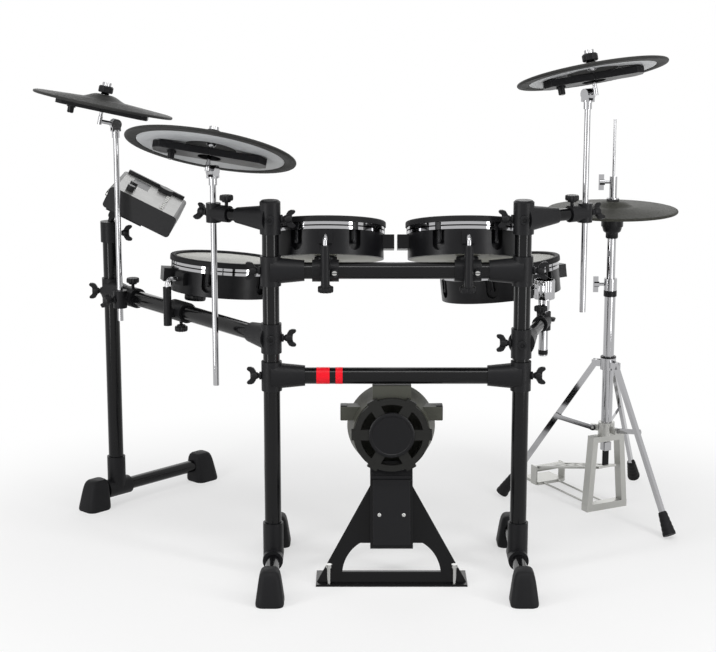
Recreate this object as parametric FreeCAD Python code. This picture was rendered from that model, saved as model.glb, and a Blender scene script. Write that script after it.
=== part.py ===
"""Electronic drum kit: tube rack, four drum pads, three cymbal pads, hi-hat, kick tower and sound module.

Millimetres. The origin lies on the floor, under the kick tower's base, midway between the front posts.
+X runs to the hi-hat, +Y to the drummer's seat and +Z up.
"""
import FreeCAD, Part
import math
import os

V = FreeCAD.Vector
Z_AXIS = V(0, 0, 1)

# Fits
SEAT_GAP = 0.05
RUN_GAP = 0.08
CLEAR_GAP = 0.3
CUT_OVERRUN = 20.0

# Rack tubes
PIPE_R = 19.0
PIPE_WALL = 2.0
POST_X = 283.5
POST_TOP = 872.0
REAR_POST_X = -715.0
REAR_POST_Y = 547.0
REAR_POST_TOP = 736.0
TOM_BAR_Z = 720.0
LOWER_BAR_Z = 477.0
SIDE_BAR_Z = 565.0
CAP_H = 8.0

# Cast tees on the posts
TEE_R = 23.5
TEE_H = 68.0
TEE_ROOT_R = 31.0
TEE_END_R = 23.5
TEE_REACH = 76.0
TEE_STOP = 6.0
TOP_TEE_Z = 838.0

# Arms for the cymbal rods and the snare tube
ARM_R = 14.0
ARM_TEE_END_R = 18.0
ARM_TEE_REACH = 92.0

# Feet
FOOT_Z = 45.0
FOOT_BAR_R = 16.0
FOOT_BAR_NEAR = 195.0
FOOT_BAR_FAR = 225.0
REAR_FOOT_OUT = 80.0
REAR_FOOT_IN = 300.0
REAR_FOOT_TURN = 46.0
FOOT_SLEEVE_TOP = 128.0
FOOT_SLEEVE_LENGTH = 74.0
SHOE_LENGTH = 74.0
SHOE_WIDTH = 66.0
SHOE_TOP_LENGTH = 56.0
SHOE_TOP_WIDTH = 44.0
SHOE_H = 78.0
SHOE_GRIP = 42.0

# Wing bolts and thumb knobs
BOLT_R = 4.0
BOLT_STEM = 12.0
WING_HUB_R = 7.5
WING_HUB_H = 13.0
WING_SPAN = 40.0
WING_H = 13.0
WING_T = 6.0
KNOB_R = 16.0
KNOB_H = 12.0

# Cymbal rods, clamps and tilters
ROD_R = 7.0
ROD_COLLAR_R = 9.5
ROD_COLLAR_H = 16.0
CLAMP_R = 17.0
CLAMP_H = 44.0
CLAMP_SOCKET_R = 19.0
CLAMP_SOCKET_L = 46.0
KNUCKLE_R = 13.0
KNUCKLE_W = 12.0
KNUCKLE_RISE = 17.0
FORK_EAR = 5.0
FORK_CHEEK_W = 20.8
TILT_PIN_R = 3.5
TILT_ARM_R = 4.8
STUD_R = 4.5
STUD_BASE_R = 5.4
STUD_BASE_H = 8.0
STUD_OFFSET = 26.0
STUD_LENGTH = 60.0
BALL_R = 13.0
NUT_R = 14.0
NUT_LOW = 11.0
NUT_H = 15.0
FIN_R = 11.0
FIN_H = 9.0
FIN_SLOT = 5.0

# Cymbal pads
BELL_R = 58.0
BELL_RISE = 13.0
BELL_THICK = 11.0
PAD_DROP = 15.0
PAD_EDGE = 7.0
PAD_SKIN = 4.0
RIM_BAND = 27.0
PLATE_T = 2.5
SENSOR_W = 64.0
SENSOR_H = 15.0
SENSOR_SHARE = 0.66
SENSOR_HOLE_R = 27.0
JACK_R = 8.0
JACK_L = 18.0
JACK_BORE_R = 3.3

# Cymbal places: rod centre, rod ends, pad radius, tilts in degrees
RIDE_X = -417.0
RIDE_Y = 90.0
RIDE_LOW = 432.0
RIDE_HIGH = 917.0
RIDE_R = 197.0
RIDE_BACK = 19.5
RIDE_ROLL = -9.5
CRASH_RIGHT_X = 431.0
CRASH_RIGHT_Y = 90.0
CRASH_RIGHT_LOW = 606.0
CRASH_RIGHT_HIGH = 1090.0
CRASH_R = 171.5
CRASH_RIGHT_BACK = 13.0
CRASH_RIGHT_ROLL = 9.5
CRASH_LEFT_ALONG = 592.0
CRASH_LEFT_SIDE = 38.0
CRASH_LEFT_LOW = 510.0
CRASH_LEFT_HIGH = 984.0
CRASH_LEFT_BACK = 5.0
CRASH_LEFT_ROLL = -12.0
CRASH_LEFT_OFFSET = 40.0

# Drum pads
TOM_R = 137.5
SNARE_R = 155.0
RIM_W = 13.0
RIM_H = 13.0
RIM_ROUND = 4.0
HOOP_IN = 14.0
HOOP_OUT = 3.5
HOOP_H = 7.0
HOOP_GAP = 3.0
SHELL_IN = 5.0
SHELL_WALL = 20.0
SHELL_H = 57.0
SHELL_FLOOR = 5.0
LUG_COUNT = 6
LUG_W = 30.0
LUG_DEPTH = 13.0
LUG_H = 46.0
BRACKET_W = 46.0
BRACKET_H = 33.0
BRACKET_DROP = 1.5
BRACKET_SINK = 3.0
BRACKET_OUT = 19.0
EAR_W = 15.0
TENSION_R = 3.0
TENSION_HEAD_R = 5.0
TENSION_HEAD_H = 7.0
HEAD_T = 1.6
HEAD_SINK = 5.0
BRIDGE_W = 34.0
BRIDGE_T = 6.0
BRIDGE_SINK = 30.0
CONE_R = 24.0
CONE_TOP_R = 8.0
BOSS_W = 30.0
BOSS_H = 30.0
BOSS_L = 15.0
PAD_ARM_R = 5.5
SNARE_ARM_R = 8.0
PAD_ARM_DROP = 50.0
PAD_ARM_BEND = 14.0
TOM_ARM_REACH = 172.0
FLOOR_ARM_REACH = 186.0
SNARE_ARM_REACH = 275.0

# Drum pad places: bend of each arm, tilts in degrees, direction of the arm in the pad
TOM_X = 160.0
TOM_BEND_Z = 806.0
TOM_BACK = 15.5
FLOOR_BEND_X = -545.0
FLOOR_BEND_Y = 270.0
FLOOR_BEND_Z = 648.0
FLOOR_BACK = 4.0
FLOOR_ROLL = -4.5
FLOOR_ARM_TURN = -134.8
SNARE_TUBE_X = 357.0
SNARE_TUBE_Y = 240.0
SNARE_BEND_Z = 630.0
SNARE_BACK = 4.0
SNARE_ROLL = 6.0
SNARE_ARM_TURN = -71.1
SNARE_ARM_Z = 553.0
SNARE_TUBE_R = 11.0
SNARE_TUBE_LOW = 468.0
SNARE_TIP_H = 14.0
SNARE_HOLDER_R = 23.0
SNARE_HOLDER_H = 46.0

# Pad clamps
PAD_CLAMP_R = 25.0
PAD_CLAMP_W = 60.0
HOLDER_R = 10.0
HOLDER_OFFSET = 38.0
HOLDER_LOW = 30.0
HOLDER_HIGH = 64.0

# Kick tower
KICK_X = -10.0
KICK_FRONT = -84.0
KICK_STRIP_BACK = 14.0
KICK_BASE_W = 347.0
KICK_LEG_SET = 24.0
KICK_PLATE_T = 5.0
KICK_LEG_TOP_W = 98.0
KICK_LEG_TOP_Z = 208.0
KICK_ARCH_W = 226.0
KICK_ARCH_TOP_W = 144.0
KICK_ARCH_LOW = 26.0
KICK_ARCH_HIGH = 92.0
KICK_ARCH_BULGE = 11.0
KICK_COLUMN_D = 26.0
KICK_COLUMN_LOW = 78.0
KICK_COLUMN_HIGH = 300.0
KICK_PAD_Z = 343.0
KICK_RING_R = 86.0
KICK_RING_BAND = 14.0
KICK_RING_T = 12.0
KICK_SPOKES = 6
KICK_SPOKE_W = 24.0
KICK_SPOKE_OUT = 6.0
KICK_DISC_R = 51.5
KICK_HOUSING_R = 102.0
KICK_HOUSING_FRONT_R = 88.0
KICK_HOUSING_WALL = 9.0
KICK_HOUSING_D = 78.0
KICK_HOUSING_FRONT = -26.0
KICK_WALL_Y = 32.0
KICK_EAR_SPAN = 232.0
KICK_EAR_W = 34.0
KICK_EAR_H = 32.0
KICK_EAR_RISE = 42.0
KICK_HOOD_W = 88.0
KICK_HOOD_TOP = 113.0
KICK_PAD_R = 92.0
KICK_PAD_T = 14.0
KICK_SENSOR_R = 20.0
KICK_SENSOR_T = 3.0
KICK_SPIKE_R = 4.0
KICK_SPIKE_H = 44.0
KICK_SPIKE_HEAD_R = 7.0
KICK_SPIKE_HEAD_H = 8.0
KICK_SPIKE_INSET = 30.0

# Hi-hat
HIHAT_X = 550.0
HIHAT_Y = 505.0
HIHAT_PAD_R = 163.0
HIHAT_PAD_Z = 797.0
HIHAT_TRAVEL = 14.0
HIHAT_ROD_R = 3.5
HIHAT_ROD_TOP = 1007.0
HIHAT_UPPER_R = 11.0
HIHAT_LOWER_R = 14.0
HIHAT_TUBE_WALL = 2.5
HIHAT_SPLIT_Z = 575.0
HIHAT_HUB_Z = 214.0
HIHAT_HUB_R = 21.0
HIHAT_HUB_H = 34.0
HIHAT_CUP_R = 27.0
HIHAT_CUP_NECK_R = 17.0
HIHAT_CUP_H = 40.0
HIHAT_CUP_SEAT = 12.0
HIHAT_CUP_ROOM = 1.5
HIHAT_CLAMP_H = 30.0
HIHAT_ROD_BORE = 5.5
CLUTCH_R = 9.5
CLUTCH_H = 62.0
CLUTCH_NUT_R = 15.0
CLUTCH_NUT_H = 8.0
COLLAR_Z = 385.0
COLLAR_R = 20.0
COLLAR_H = 30.0
LUG_PIN_R = 3.0
LEG_PIVOT_R = 33.0
LEG_SPREAD = 33.0
LEG_W = 15.0
LEG_T = 9.0
LEG_EAR = 4.0
LEG_EYE_R = 8.0
LEG_TIP_R = 16.0
LEG_TIP_TOP_R = 10.0
LEG_TIP_L = 58.0
LEG_TURNS = (-62.0, 66.0, 158.0)
BRACE_SHARE = 0.40
BRACE_PIVOT_R = 34.0
BRACE_W = 13.0
BRACE_T = 3.5
PEDAL_TURN = 118.0
FRAME_TOP_W = 80.0
FRAME_LOW_W = 108.0
FRAME_BAR = 15.0
FRAME_D = 26.0
FRAME_FOOT_H = 18.0
BOARD_L = 262.0
BOARD_W = 84.0
BOARD_TOE_W = 58.0
BOARD_TOE_OVER = 12.0
BOARD_T = 7.0
BOARD_TOE_Z = 108.0
BOARD_HEEL_Z = 42.0
HINGE_R = 4.5
HEEL_L = 74.0
HEEL_SET = 20.0
HEEL_BLOCK = 26.0
HEEL_T = 8.0
WIRE_R = 2.5
WIRE_SPREAD = 46.0
STRAP_W = 16.0
STRAP_T = 5.0
STRAP_H = 40.0
YOKE_H = 22.0
YOKE_W = 20.0

# Sound module
MODULE_X = -630.0
MODULE_NEAR_Y = 469.5
MODULE_Z = 779.0
MODULE_D = 182.0
MODULE_W = 285.0
MODULE_H = 56.0
MODULE_ROUND = 9.0
MODULE_TILT = 27.0
MODULE_PANEL_T = 4.0
MODULE_PANEL_SET = 10.5
MODULE_PANEL_END_SET = 3.5
DISPLAY_D = 46.0
DISPLAY_W = 92.0
DISPLAY_SINK = 1.2
DIAL_R = 19.0
DIAL_H = 13.0
KNOB_SMALL_R = 10.0
KNOB_SMALL_H = 15.0
KNOB_SHAFT_R = 3.0
KNOB_SHAFT_L = 8.0
BUTTON_D = 9.0
BUTTON_W = 17.0
BUTTON_H = 5.0
BUTTON_STEP = 25.0
BUTTON_COUNT = 8
MODULE_JACKS = 10
MODULE_JACK_STEP = 24.0
MODULE_JACK_R = 6.5
MODULE_JACK_L = 5.0
MODULE_JACK_BORE_R = 3.2
MODULE_WALL = 3.0
MODULE_SIDE_WALL = 9.0
MODULE_END_WALL = 6.0
MODULE_HINGE_SHARE = 0.33
MODULE_HINGE_DROP = 20.0
MODULE_HINGE_R = 9.0
MODULE_NECK_R = 7.5
MODULE_HINGE_W = 46.0
MODULE_EAR_T = 6.0
MODULE_PIN_R = 4.0
MODULE_PLATE_D = 96.0
MODULE_PLATE_W = 150.0
MODULE_PLATE_T = 4.0


def rod(start, end, radius):
    """Solid round bar between two points."""
    return Part.makeCylinder(radius, (end - start).Length, start, end - start)


def pipe(start, end, radius, wall):
    """Open tube between two points."""
    return rod(start, end, radius).cut(rod(start, end, radius - wall))


def cone(start, end, start_r, end_r):
    """Tapered round bar between two points."""
    return Part.makeCone(start_r, end_r, (end - start).Length, start, end - start)


def block(centre, length, width, height, turn=0.0):
    """Box about its centre, turned about the vertical."""
    box = Part.makeBox(length, width, height, V(-length / 2, -width / 2, -height / 2))
    box.Placement = FreeCAD.Placement(centre, FreeCAD.Rotation(Z_AXIS, turn))
    return box


def flat_bar(start, end, width, thick, flat_normal):
    """Rectangular bar between two points, thick along flat_normal."""
    along = end - start
    bar = Part.makeBox(along.Length, width, thick, V(0, -width / 2, -thick / 2))
    bar.Placement = FreeCAD.Placement(start, FreeCAD.Rotation(along, V(), flat_normal, "XZY"))
    return bar


def revolved(profile):
    """Solid of revolution about Z from (radius, height) points."""
    points = [V(radius, 0, height) for radius, height in profile]
    face = Part.Face(Part.makePolygon(points + points[:1]))
    return face.revolve(V(), Z_AXIS, 360)


def ring(inner, outer, low, high):
    """Flat ring about Z."""
    return revolved([(inner, low), (outer, low), (outer, high), (inner, high)])


def fused(*shapes):
    """One solid from touching pieces."""
    return shapes[0].multiFuse(list(shapes[1:])).removeSplitter()


def polar(turn, radius=1.0, height=0.0):
    """Point at a bearing about Z."""
    angle = math.radians(turn)
    return V(radius * math.cos(angle), radius * math.sin(angle), height)


def tilted(centre, back=0.0, roll=0.0, turn=0.0):
    """Placement with the near edge raised by back and the +X edge raised by roll."""
    rotation = FreeCAD.Rotation(V(0, 1, 0), -roll) * FreeCAD.Rotation(V(1, 0, 0), -back)
    return FreeCAD.Placement(centre, rotation * FreeCAD.Rotation(Z_AXIS, turn))


def moved(shape, placement):
    """Copy of a shape at a placement."""
    copy = shape.copy()
    copy.Placement = placement.multiply(copy.Placement)
    return copy


def bent_rod(start, corner, end, radius, bend):
    """Round bar with one rounded corner."""
    into = (corner - start).normalize()
    out = (end - corner).normalize()
    turn = math.acos(into.dot(out))
    setback = bend * math.tan(turn / 2)
    first = corner - into * setback
    last = corner + out * setback
    centre_line = (out - into).normalize()
    middle = corner + centre_line * (bend / math.cos(turn / 2) - bend)
    edges = [Part.LineSegment(start, first).toShape()]
    edges.append(Part.Arc(first, middle, last).toShape())
    edges.append(Part.LineSegment(last, end).toShape())
    section = Part.Wire(Part.Circle(start, into, radius).toShape())
    return Part.Wire(edges).makePipeShell([section], True, True)


# Rack

LEFT_POST = V(-POST_X, 0, 0)
RIGHT_POST = V(POST_X, 0, 0)
REAR_POST = V(REAR_POST_X, REAR_POST_Y, 0)
SIDE_DIRECTION = (REAR_POST - LEFT_POST).normalize()
SIDE_TURN = math.degrees(math.atan2(SIDE_DIRECTION.y, SIDE_DIRECTION.x))
SIDE_OUT = polar(SIDE_TURN + 90)
RIDE_FOOT = V(RIDE_X, RIDE_Y, 0)
CRASH_RIGHT_FOOT = V(CRASH_RIGHT_X, CRASH_RIGHT_Y, 0)
CRASH_LEFT_FOOT = LEFT_POST + SIDE_DIRECTION * CRASH_LEFT_ALONG + SIDE_OUT * CRASH_LEFT_SIDE
SNARE_FOOT = V(SNARE_TUBE_X, SNARE_TUBE_Y, 0)
# Arms: post, rod that the arm reaches, height
ARMS = (
    (LEFT_POST, RIDE_FOOT, TOP_TEE_Z),
    (RIGHT_POST, CRASH_RIGHT_FOOT, TOP_TEE_Z),
    (RIGHT_POST, SNARE_FOOT, SNARE_ARM_Z),
)
REAR_FOOT_BEARING = polar(REAR_FOOT_TURN)
# Foot bars: post, bearing, length before and behind the post
FOOT_BARS = (
    (LEFT_POST, V(0, 1, 0), FOOT_BAR_NEAR, FOOT_BAR_FAR),
    (RIGHT_POST, V(0, 1, 0), FOOT_BAR_NEAR, FOOT_BAR_FAR),
    (REAR_POST, REAR_FOOT_BEARING, REAR_FOOT_OUT, REAR_FOOT_IN),
)
BAR_START = PIPE_R + TEE_STOP


def posts():
    """Three upright tubes, standing in their foot tees."""
    low = Z_AXIS * (FOOT_Z + FOOT_BAR_R + TEE_STOP)
    tops = ((LEFT_POST, POST_TOP), (RIGHT_POST, POST_TOP), (REAR_POST, REAR_POST_TOP))
    return [pipe(post + low, post + Z_AXIS * top, PIPE_R, PIPE_WALL) for post, top in tops]


def bars():
    """Tom bar, lower bar, side bar and the three short arms."""
    shapes = []
    for height in (TOM_BAR_Z, LOWER_BAR_Z):
        start = LEFT_POST + V(BAR_START, 0, height)
        shapes.append(pipe(start, RIGHT_POST + V(-BAR_START, 0, height), PIPE_R, PIPE_WALL))
    lift = Z_AXIS * SIDE_BAR_Z
    side_start = LEFT_POST + SIDE_DIRECTION * BAR_START + lift
    shapes.append(pipe(side_start, REAR_POST - SIDE_DIRECTION * BAR_START + lift, PIPE_R, PIPE_WALL))
    for post, foot, height in ARMS:
        along = (foot - post).normalize()
        lift = Z_AXIS * height
        end = foot - along * (CLAMP_R + SEAT_GAP) + lift
        shapes.append(pipe(post + along * BAR_START + lift, end, ARM_R, PIPE_WALL))
    return shapes


def tee(post, bearing, height, reach, end_r, bar_r):
    """Cast sleeve on a post with a tapered branch round a bar."""
    middle = post + Z_AXIS * height
    half = Z_AXIS * (TEE_H / 2)
    end = middle + bearing * reach
    body = fused(rod(middle - half, middle + half, TEE_R), cone(middle, end, TEE_ROOT_R, end_r))
    past = half + Z_AXIS * CUT_OVERRUN
    post_bore = rod(middle - past, middle + past, PIPE_R + SEAT_GAP)
    bar_bore = rod(middle + bearing * BAR_START, end + bearing * CUT_OVERRUN, bar_r + SEAT_GAP)
    return body.cut(post_bore).cut(bar_bore)


def cap(post, top):
    """Domed plug on a post's open end."""
    lip = revolved([(0, 0), (TEE_R, 0), (TEE_R, CAP_H / 2), (PIPE_R, CAP_H), (0, CAP_H)])
    return moved(lip, FreeCAD.Placement(post + Z_AXIS * top, FreeCAD.Rotation()))


def foot_tee(post, bearing):
    """Sleeve under a post, square across a foot bar."""
    middle = post + Z_AXIS * FOOT_Z
    half = bearing * (FOOT_SLEEVE_LENGTH / 2)
    upright = rod(middle, post + Z_AXIS * FOOT_SLEEVE_TOP, TEE_R)
    body = fused(upright, rod(middle - half, middle + half, TEE_R - SEAT_GAP))
    socket_low = post + Z_AXIS * (FOOT_Z + FOOT_BAR_R + TEE_STOP)
    body = body.cut(rod(socket_low, post + Z_AXIS * (FOOT_SLEEVE_TOP + CUT_OVERRUN), PIPE_R + SEAT_GAP))
    over = bearing * CUT_OVERRUN
    return body.cut(rod(middle - half - over, middle + half + over, FOOT_BAR_R + SEAT_GAP))


def tees():
    """All castings of the rack and the caps of the posts."""
    shapes = []
    for post, along in ((LEFT_POST, V(1, 0, 0)), (RIGHT_POST, V(-1, 0, 0))):
        shapes.append(tee(post, along, TOM_BAR_Z, TEE_REACH, TEE_END_R, PIPE_R))
        shapes.append(tee(post, along, LOWER_BAR_Z, TEE_REACH, TEE_END_R, PIPE_R))
        shapes.append(cap(post, POST_TOP))
    shapes.append(tee(LEFT_POST, SIDE_DIRECTION, SIDE_BAR_Z, TEE_REACH, TEE_END_R, PIPE_R))
    shapes.append(tee(REAR_POST, -SIDE_DIRECTION, SIDE_BAR_Z, TEE_REACH, TEE_END_R, PIPE_R))
    for post, foot, height in ARMS:
        shapes.append(tee(post, (foot - post).normalize(), height, ARM_TEE_REACH, ARM_TEE_END_R, ARM_R))
    for post, bearing, _near, _far in FOOT_BARS:
        shapes.append(foot_tee(post, bearing))
    return shapes


def foot_bars():
    """Tubes on the floor that carry the posts."""
    shapes = []
    for post, bearing, near, far in FOOT_BARS:
        middle = post + Z_AXIS * FOOT_Z
        shapes.append(pipe(middle - bearing * near, middle + bearing * far, FOOT_BAR_R, PIPE_WALL))
    return shapes


def shoe():
    """Rubber foot that points along +X, its grip face at the origin."""
    low = [V(-SHOE_GRIP, -SHOE_WIDTH / 2, 0), V(SHOE_LENGTH - SHOE_GRIP, -SHOE_WIDTH / 2, 0)]
    low += [V(SHOE_LENGTH - SHOE_GRIP, SHOE_WIDTH / 2, 0), V(-SHOE_GRIP, SHOE_WIDTH / 2, 0)]
    top_end = SHOE_TOP_LENGTH - SHOE_GRIP
    high = [V(-SHOE_GRIP, -SHOE_TOP_WIDTH / 2, SHOE_H), V(top_end, -SHOE_TOP_WIDTH / 2, SHOE_H)]
    high += [V(top_end, SHOE_TOP_WIDTH / 2, SHOE_H), V(-SHOE_GRIP, SHOE_TOP_WIDTH / 2, SHOE_H)]
    body = Part.makeLoft([Part.makePolygon(low + low[:1]), Part.makePolygon(high + high[:1])], True, True)
    axis_start = V(-SHOE_GRIP - CUT_OVERRUN, 0, FOOT_Z)
    return body.cut(rod(axis_start, V(SEAT_GAP, 0, FOOT_Z), FOOT_BAR_R + SEAT_GAP))


def rubber_feet():
    """A shoe on each end of each foot bar."""
    shapes = []
    for post, bearing, near, far in FOOT_BARS:
        turn = math.degrees(math.atan2(bearing.y, bearing.x))
        for place, facing in ((post - bearing * near, turn + 180), (post + bearing * far, turn)):
            shapes.append(moved(shoe(), FreeCAD.Placement(place, FreeCAD.Rotation(Z_AXIS, facing))))
    return shapes


def rod_clamp(foot, height, along, socket_r):
    """Clamp round a cymbal rod with a socket towards an arm."""
    middle = foot + Z_AXIS * height
    half = Z_AXIS * (CLAMP_H / 2)
    body = rod(middle - half, middle + half, CLAMP_R)
    body = fused(body, rod(middle - along * CLAMP_SOCKET_L, middle, CLAMP_SOCKET_R))
    socket_start = middle - along * (CLAMP_SOCKET_L + CUT_OVERRUN)
    return body.cut(rod(socket_start, middle - along * CLAMP_R, socket_r + SEAT_GAP))


def rod_bore(foot, height, radius):
    """Cutter for a sliding rod in a clamp."""
    reach = Z_AXIS * (CLAMP_H / 2 + CUT_OVERRUN)
    middle = foot + Z_AXIS * height
    return rod(middle - reach, middle + reach, radius)


def side_ring(along, width):
    """Clamp ring on the side bar."""
    middle = LEFT_POST + SIDE_DIRECTION * along + Z_AXIS * SIDE_BAR_Z
    half = SIDE_DIRECTION * (width / 2)
    return rod(middle - half, middle + half, PAD_CLAMP_R)


def side_bore():
    """Cutter for the side bar."""
    start = LEFT_POST + Z_AXIS * SIDE_BAR_Z
    return rod(start, REAR_POST + Z_AXIS * SIDE_BAR_Z, PIPE_R + SEAT_GAP)


def rod_clamps():
    """Clamps of the three cymbal rods."""
    shapes = []
    for post, foot, height in ARMS[:2]:
        clamp = rod_clamp(foot, height, (foot - post).normalize(), ARM_R)
        shapes.append(clamp.cut(rod_bore(foot, height, ROD_R + RUN_GAP)))
    middle = CRASH_LEFT_FOOT + Z_AXIS * SIDE_BAR_Z
    half = Z_AXIS * (CLAMP_H / 2)
    bridge = rod(middle - SIDE_OUT * CRASH_LEFT_SIDE, middle, CLAMP_R)
    clamp = fused(side_ring(CRASH_LEFT_ALONG, CLAMP_H), rod(middle - half, middle + half, CLAMP_R), bridge)
    clamp = clamp.cut(side_bore())
    shapes.append(clamp.cut(rod_bore(CRASH_LEFT_FOOT, SIDE_BAR_Z, ROD_R + RUN_GAP)))
    return shapes


# Drum pads

def pad_place(bend, back, roll, turn, reach):
    """Placement of a pad from the bend of the arm that carries it."""
    free = tilted(V(), back, roll)
    return FreeCAD.Placement(bend - free.multVec(polar(turn, reach, -PAD_ARM_DROP)), free.Rotation)


TOM_BEND_Y = -HOLDER_OFFSET
# Pads: radius, bend of the arm, tilts, direction and reach of the arm, arm radius
PADS = {
    "left_tom": (TOM_R, V(-TOM_X, TOM_BEND_Y, TOM_BEND_Z), TOM_BACK, 0, -90, TOM_ARM_REACH, PAD_ARM_R),
    "right_tom": (TOM_R, V(TOM_X, TOM_BEND_Y, TOM_BEND_Z), TOM_BACK, 0, -90, TOM_ARM_REACH, PAD_ARM_R),
    "floor_tom": (TOM_R, V(FLOOR_BEND_X, FLOOR_BEND_Y, FLOOR_BEND_Z), FLOOR_BACK, FLOOR_ROLL,
                  FLOOR_ARM_TURN, FLOOR_ARM_REACH, PAD_ARM_R),
    "snare": (SNARE_R, V(SNARE_TUBE_X, SNARE_TUBE_Y, SNARE_BEND_Z), SNARE_BACK, SNARE_ROLL,
              SNARE_ARM_TURN, SNARE_ARM_REACH, SNARE_ARM_R),
}
# Tension bolt, counted from the arm, that each pad's jack box lies under
BRACKET_LUGS = {"left_tom": 1, "right_tom": 4, "floor_tom": 5, "snare": 1}
HOOP_TOP = -RIM_H
HOOP_LOW = HOOP_TOP - HOOP_H * 2 - HOOP_GAP
SHELL_LOW = HOOP_LOW - SHELL_H


def lug_turns(arm_turn):
    """Bearings of the tension bolts, with the arm midway between two of them."""
    return [arm_turn + 360 * (index + 0.5) / LUG_COUNT for index in range(LUG_COUNT)]


def pad_bracket(radius, turn):
    """Jack box on the shell under one of the tension bolts, grooved for the bolt."""
    start = radius - SHELL_IN - BRACKET_SINK
    end = radius + BRACKET_OUT
    top = HOOP_LOW - BRACKET_DROP
    box = block(polar(turn, (start + end) / 2, top - BRACKET_H / 2), end - start, BRACKET_W, BRACKET_H, turn)
    circle = radius - (HOOP_IN + HOOP_OUT) / 2
    return box.cut(rod(polar(turn, circle, top - BRACKET_H), polar(turn, circle, top), TENSION_R))


def pad_shell(radius, arm_turn, arm_r, bracket_lug):
    """Cup with lug pockets, a sensor bridge, a jack box and the boss that turns on the arm."""
    outer = radius - SHELL_IN
    inner = outer - SHELL_WALL
    profile = [(0, SHELL_LOW), (outer, SHELL_LOW), (outer, HOOP_LOW), (inner, HOOP_LOW)]
    profile += [(inner, SHELL_LOW + SHELL_FLOOR), (0, SHELL_LOW + SHELL_FLOOR)]
    body = revolved(profile)
    for turn in lug_turns(arm_turn):
        low = HOOP_LOW - LUG_H + LUG_W / 2
        pocket = block(polar(turn, outer, (low + HOOP_LOW + CUT_OVERRUN) / 2), LUG_DEPTH * 2, LUG_W,
                       HOOP_LOW + CUT_OVERRUN - low, turn)
        round_low = rod(polar(turn, outer - LUG_DEPTH, low), polar(turn, outer + LUG_DEPTH, low), LUG_W / 2)
        body = body.cut(fused(pocket, round_low))
    bridge_z = HOOP_LOW - BRIDGE_SINK
    bridge_l = inner * 2 + SHELL_WALL / 2
    bridge = block(V(0, 0, bridge_z), bridge_l, BRIDGE_W, BRIDGE_T, arm_turn + 90)
    boss = block(polar(arm_turn, outer, -PAD_ARM_DROP), BOSS_L * 2, BOSS_W, BOSS_H, arm_turn)
    body = fused(body, bridge, boss, pad_bracket(radius, lug_turns(arm_turn)[bracket_lug]))
    bore_start = polar(arm_turn, inner - CUT_OVERRUN, -PAD_ARM_DROP)
    bore_end = polar(arm_turn, outer + BOSS_L + CUT_OVERRUN, -PAD_ARM_DROP)
    body = body.cut(rod(bore_start, bore_end, arm_r + RUN_GAP))
    sensor_low = bridge_z + BRIDGE_T / 2
    sensor_high = -HEAD_SINK - HEAD_T
    sensor = cone(V(0, 0, sensor_low), V(0, 0, sensor_high), CONE_R, CONE_TOP_R)
    return [body, sensor]


def pad_hoops(radius, arm_turn):
    """Pair of chrome hoops with ears, and the tension bolts through them."""
    outer = radius - HOOP_OUT
    inner = radius - HOOP_IN
    middle_low = HOOP_LOW + HOOP_H
    middle_high = HOOP_TOP - HOOP_H
    hoops = fused(ring(inner, outer, HOOP_LOW, middle_low), ring(inner, outer, middle_high, HOOP_TOP))
    bolt_circle = (inner + outer) / 2
    bolts = []
    for turn in lug_turns(arm_turn):
        ear = block(polar(turn, bolt_circle, (HOOP_LOW + HOOP_TOP) / 2), HOOP_IN - HOOP_OUT, EAR_W,
                    HOOP_TOP - HOOP_LOW, turn)
        hoops = fused(hoops, ear)
    for turn in lug_turns(arm_turn):
        foot = polar(turn, bolt_circle, HOOP_LOW - LUG_H + LUG_W / 2)
        seat = polar(turn, outer, HOOP_TOP - TENSION_HEAD_H)
        top = polar(turn, bolt_circle, HOOP_TOP - TENSION_HEAD_H)
        crown = polar(turn, bolt_circle, HOOP_TOP)
        head = rod(top, crown, TENSION_HEAD_R - SEAT_GAP)
        bolts.append(fused(rod(foot, top, TENSION_R - SEAT_GAP), head))
        hoops = hoops.cut(rod(foot, top, TENSION_R)).cut(rod(top, crown, TENSION_HEAD_R))
        hoops = hoops.cut(block(seat + Z_AXIS * TENSION_HEAD_H / 2, HOOP_IN - HOOP_OUT, TENSION_HEAD_R,
                                TENSION_HEAD_H, turn))
    return [hoops] + bolts


def pad_rim(radius):
    """Rubber rim with a rounded crown."""
    body = ring(radius - RIM_W, radius, HOOP_TOP, 0)
    crown = [edge for edge in body.Edges if abs(edge.BoundBox.ZMin) < SEAT_GAP and edge.Length > radius]
    return [body.makeFillet(RIM_ROUND, crown)]


def pad_head(radius):
    """Mesh head stretched inside the rim."""
    flat = rod(V(0, 0, -HEAD_SINK - HEAD_T), V(0, 0, -HEAD_SINK), radius - RIM_W - SEAT_GAP)
    return [flat]


def pad_nodes():
    """Shell, hoops, rim and head of every drum pad, in place."""
    nodes = {}
    for name, (radius, bend, back, roll, arm_turn, reach, arm_r) in PADS.items():
        place = pad_place(bend, back, roll, arm_turn, reach)
        pieces = {
            "shell": pad_shell(radius, arm_turn, arm_r, BRACKET_LUGS[name]),
            "hoops": pad_hoops(radius, arm_turn),
            "rim": pad_rim(radius),
            "head": pad_head(radius),
        }
        for piece, shapes in pieces.items():
            nodes[f"{name}_{piece}"] = [moved(shape, place) for shape in shapes]
    return nodes


def arm_end(name):
    """Point inside a pad's wall where its arm stops."""
    radius, bend, back, roll, arm_turn, reach, _arm_r = PADS[name]
    place = pad_place(bend, back, roll, arm_turn, reach)
    return place.multVec(polar(arm_turn, radius - SHELL_IN - SHELL_WALL, -PAD_ARM_DROP))


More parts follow.
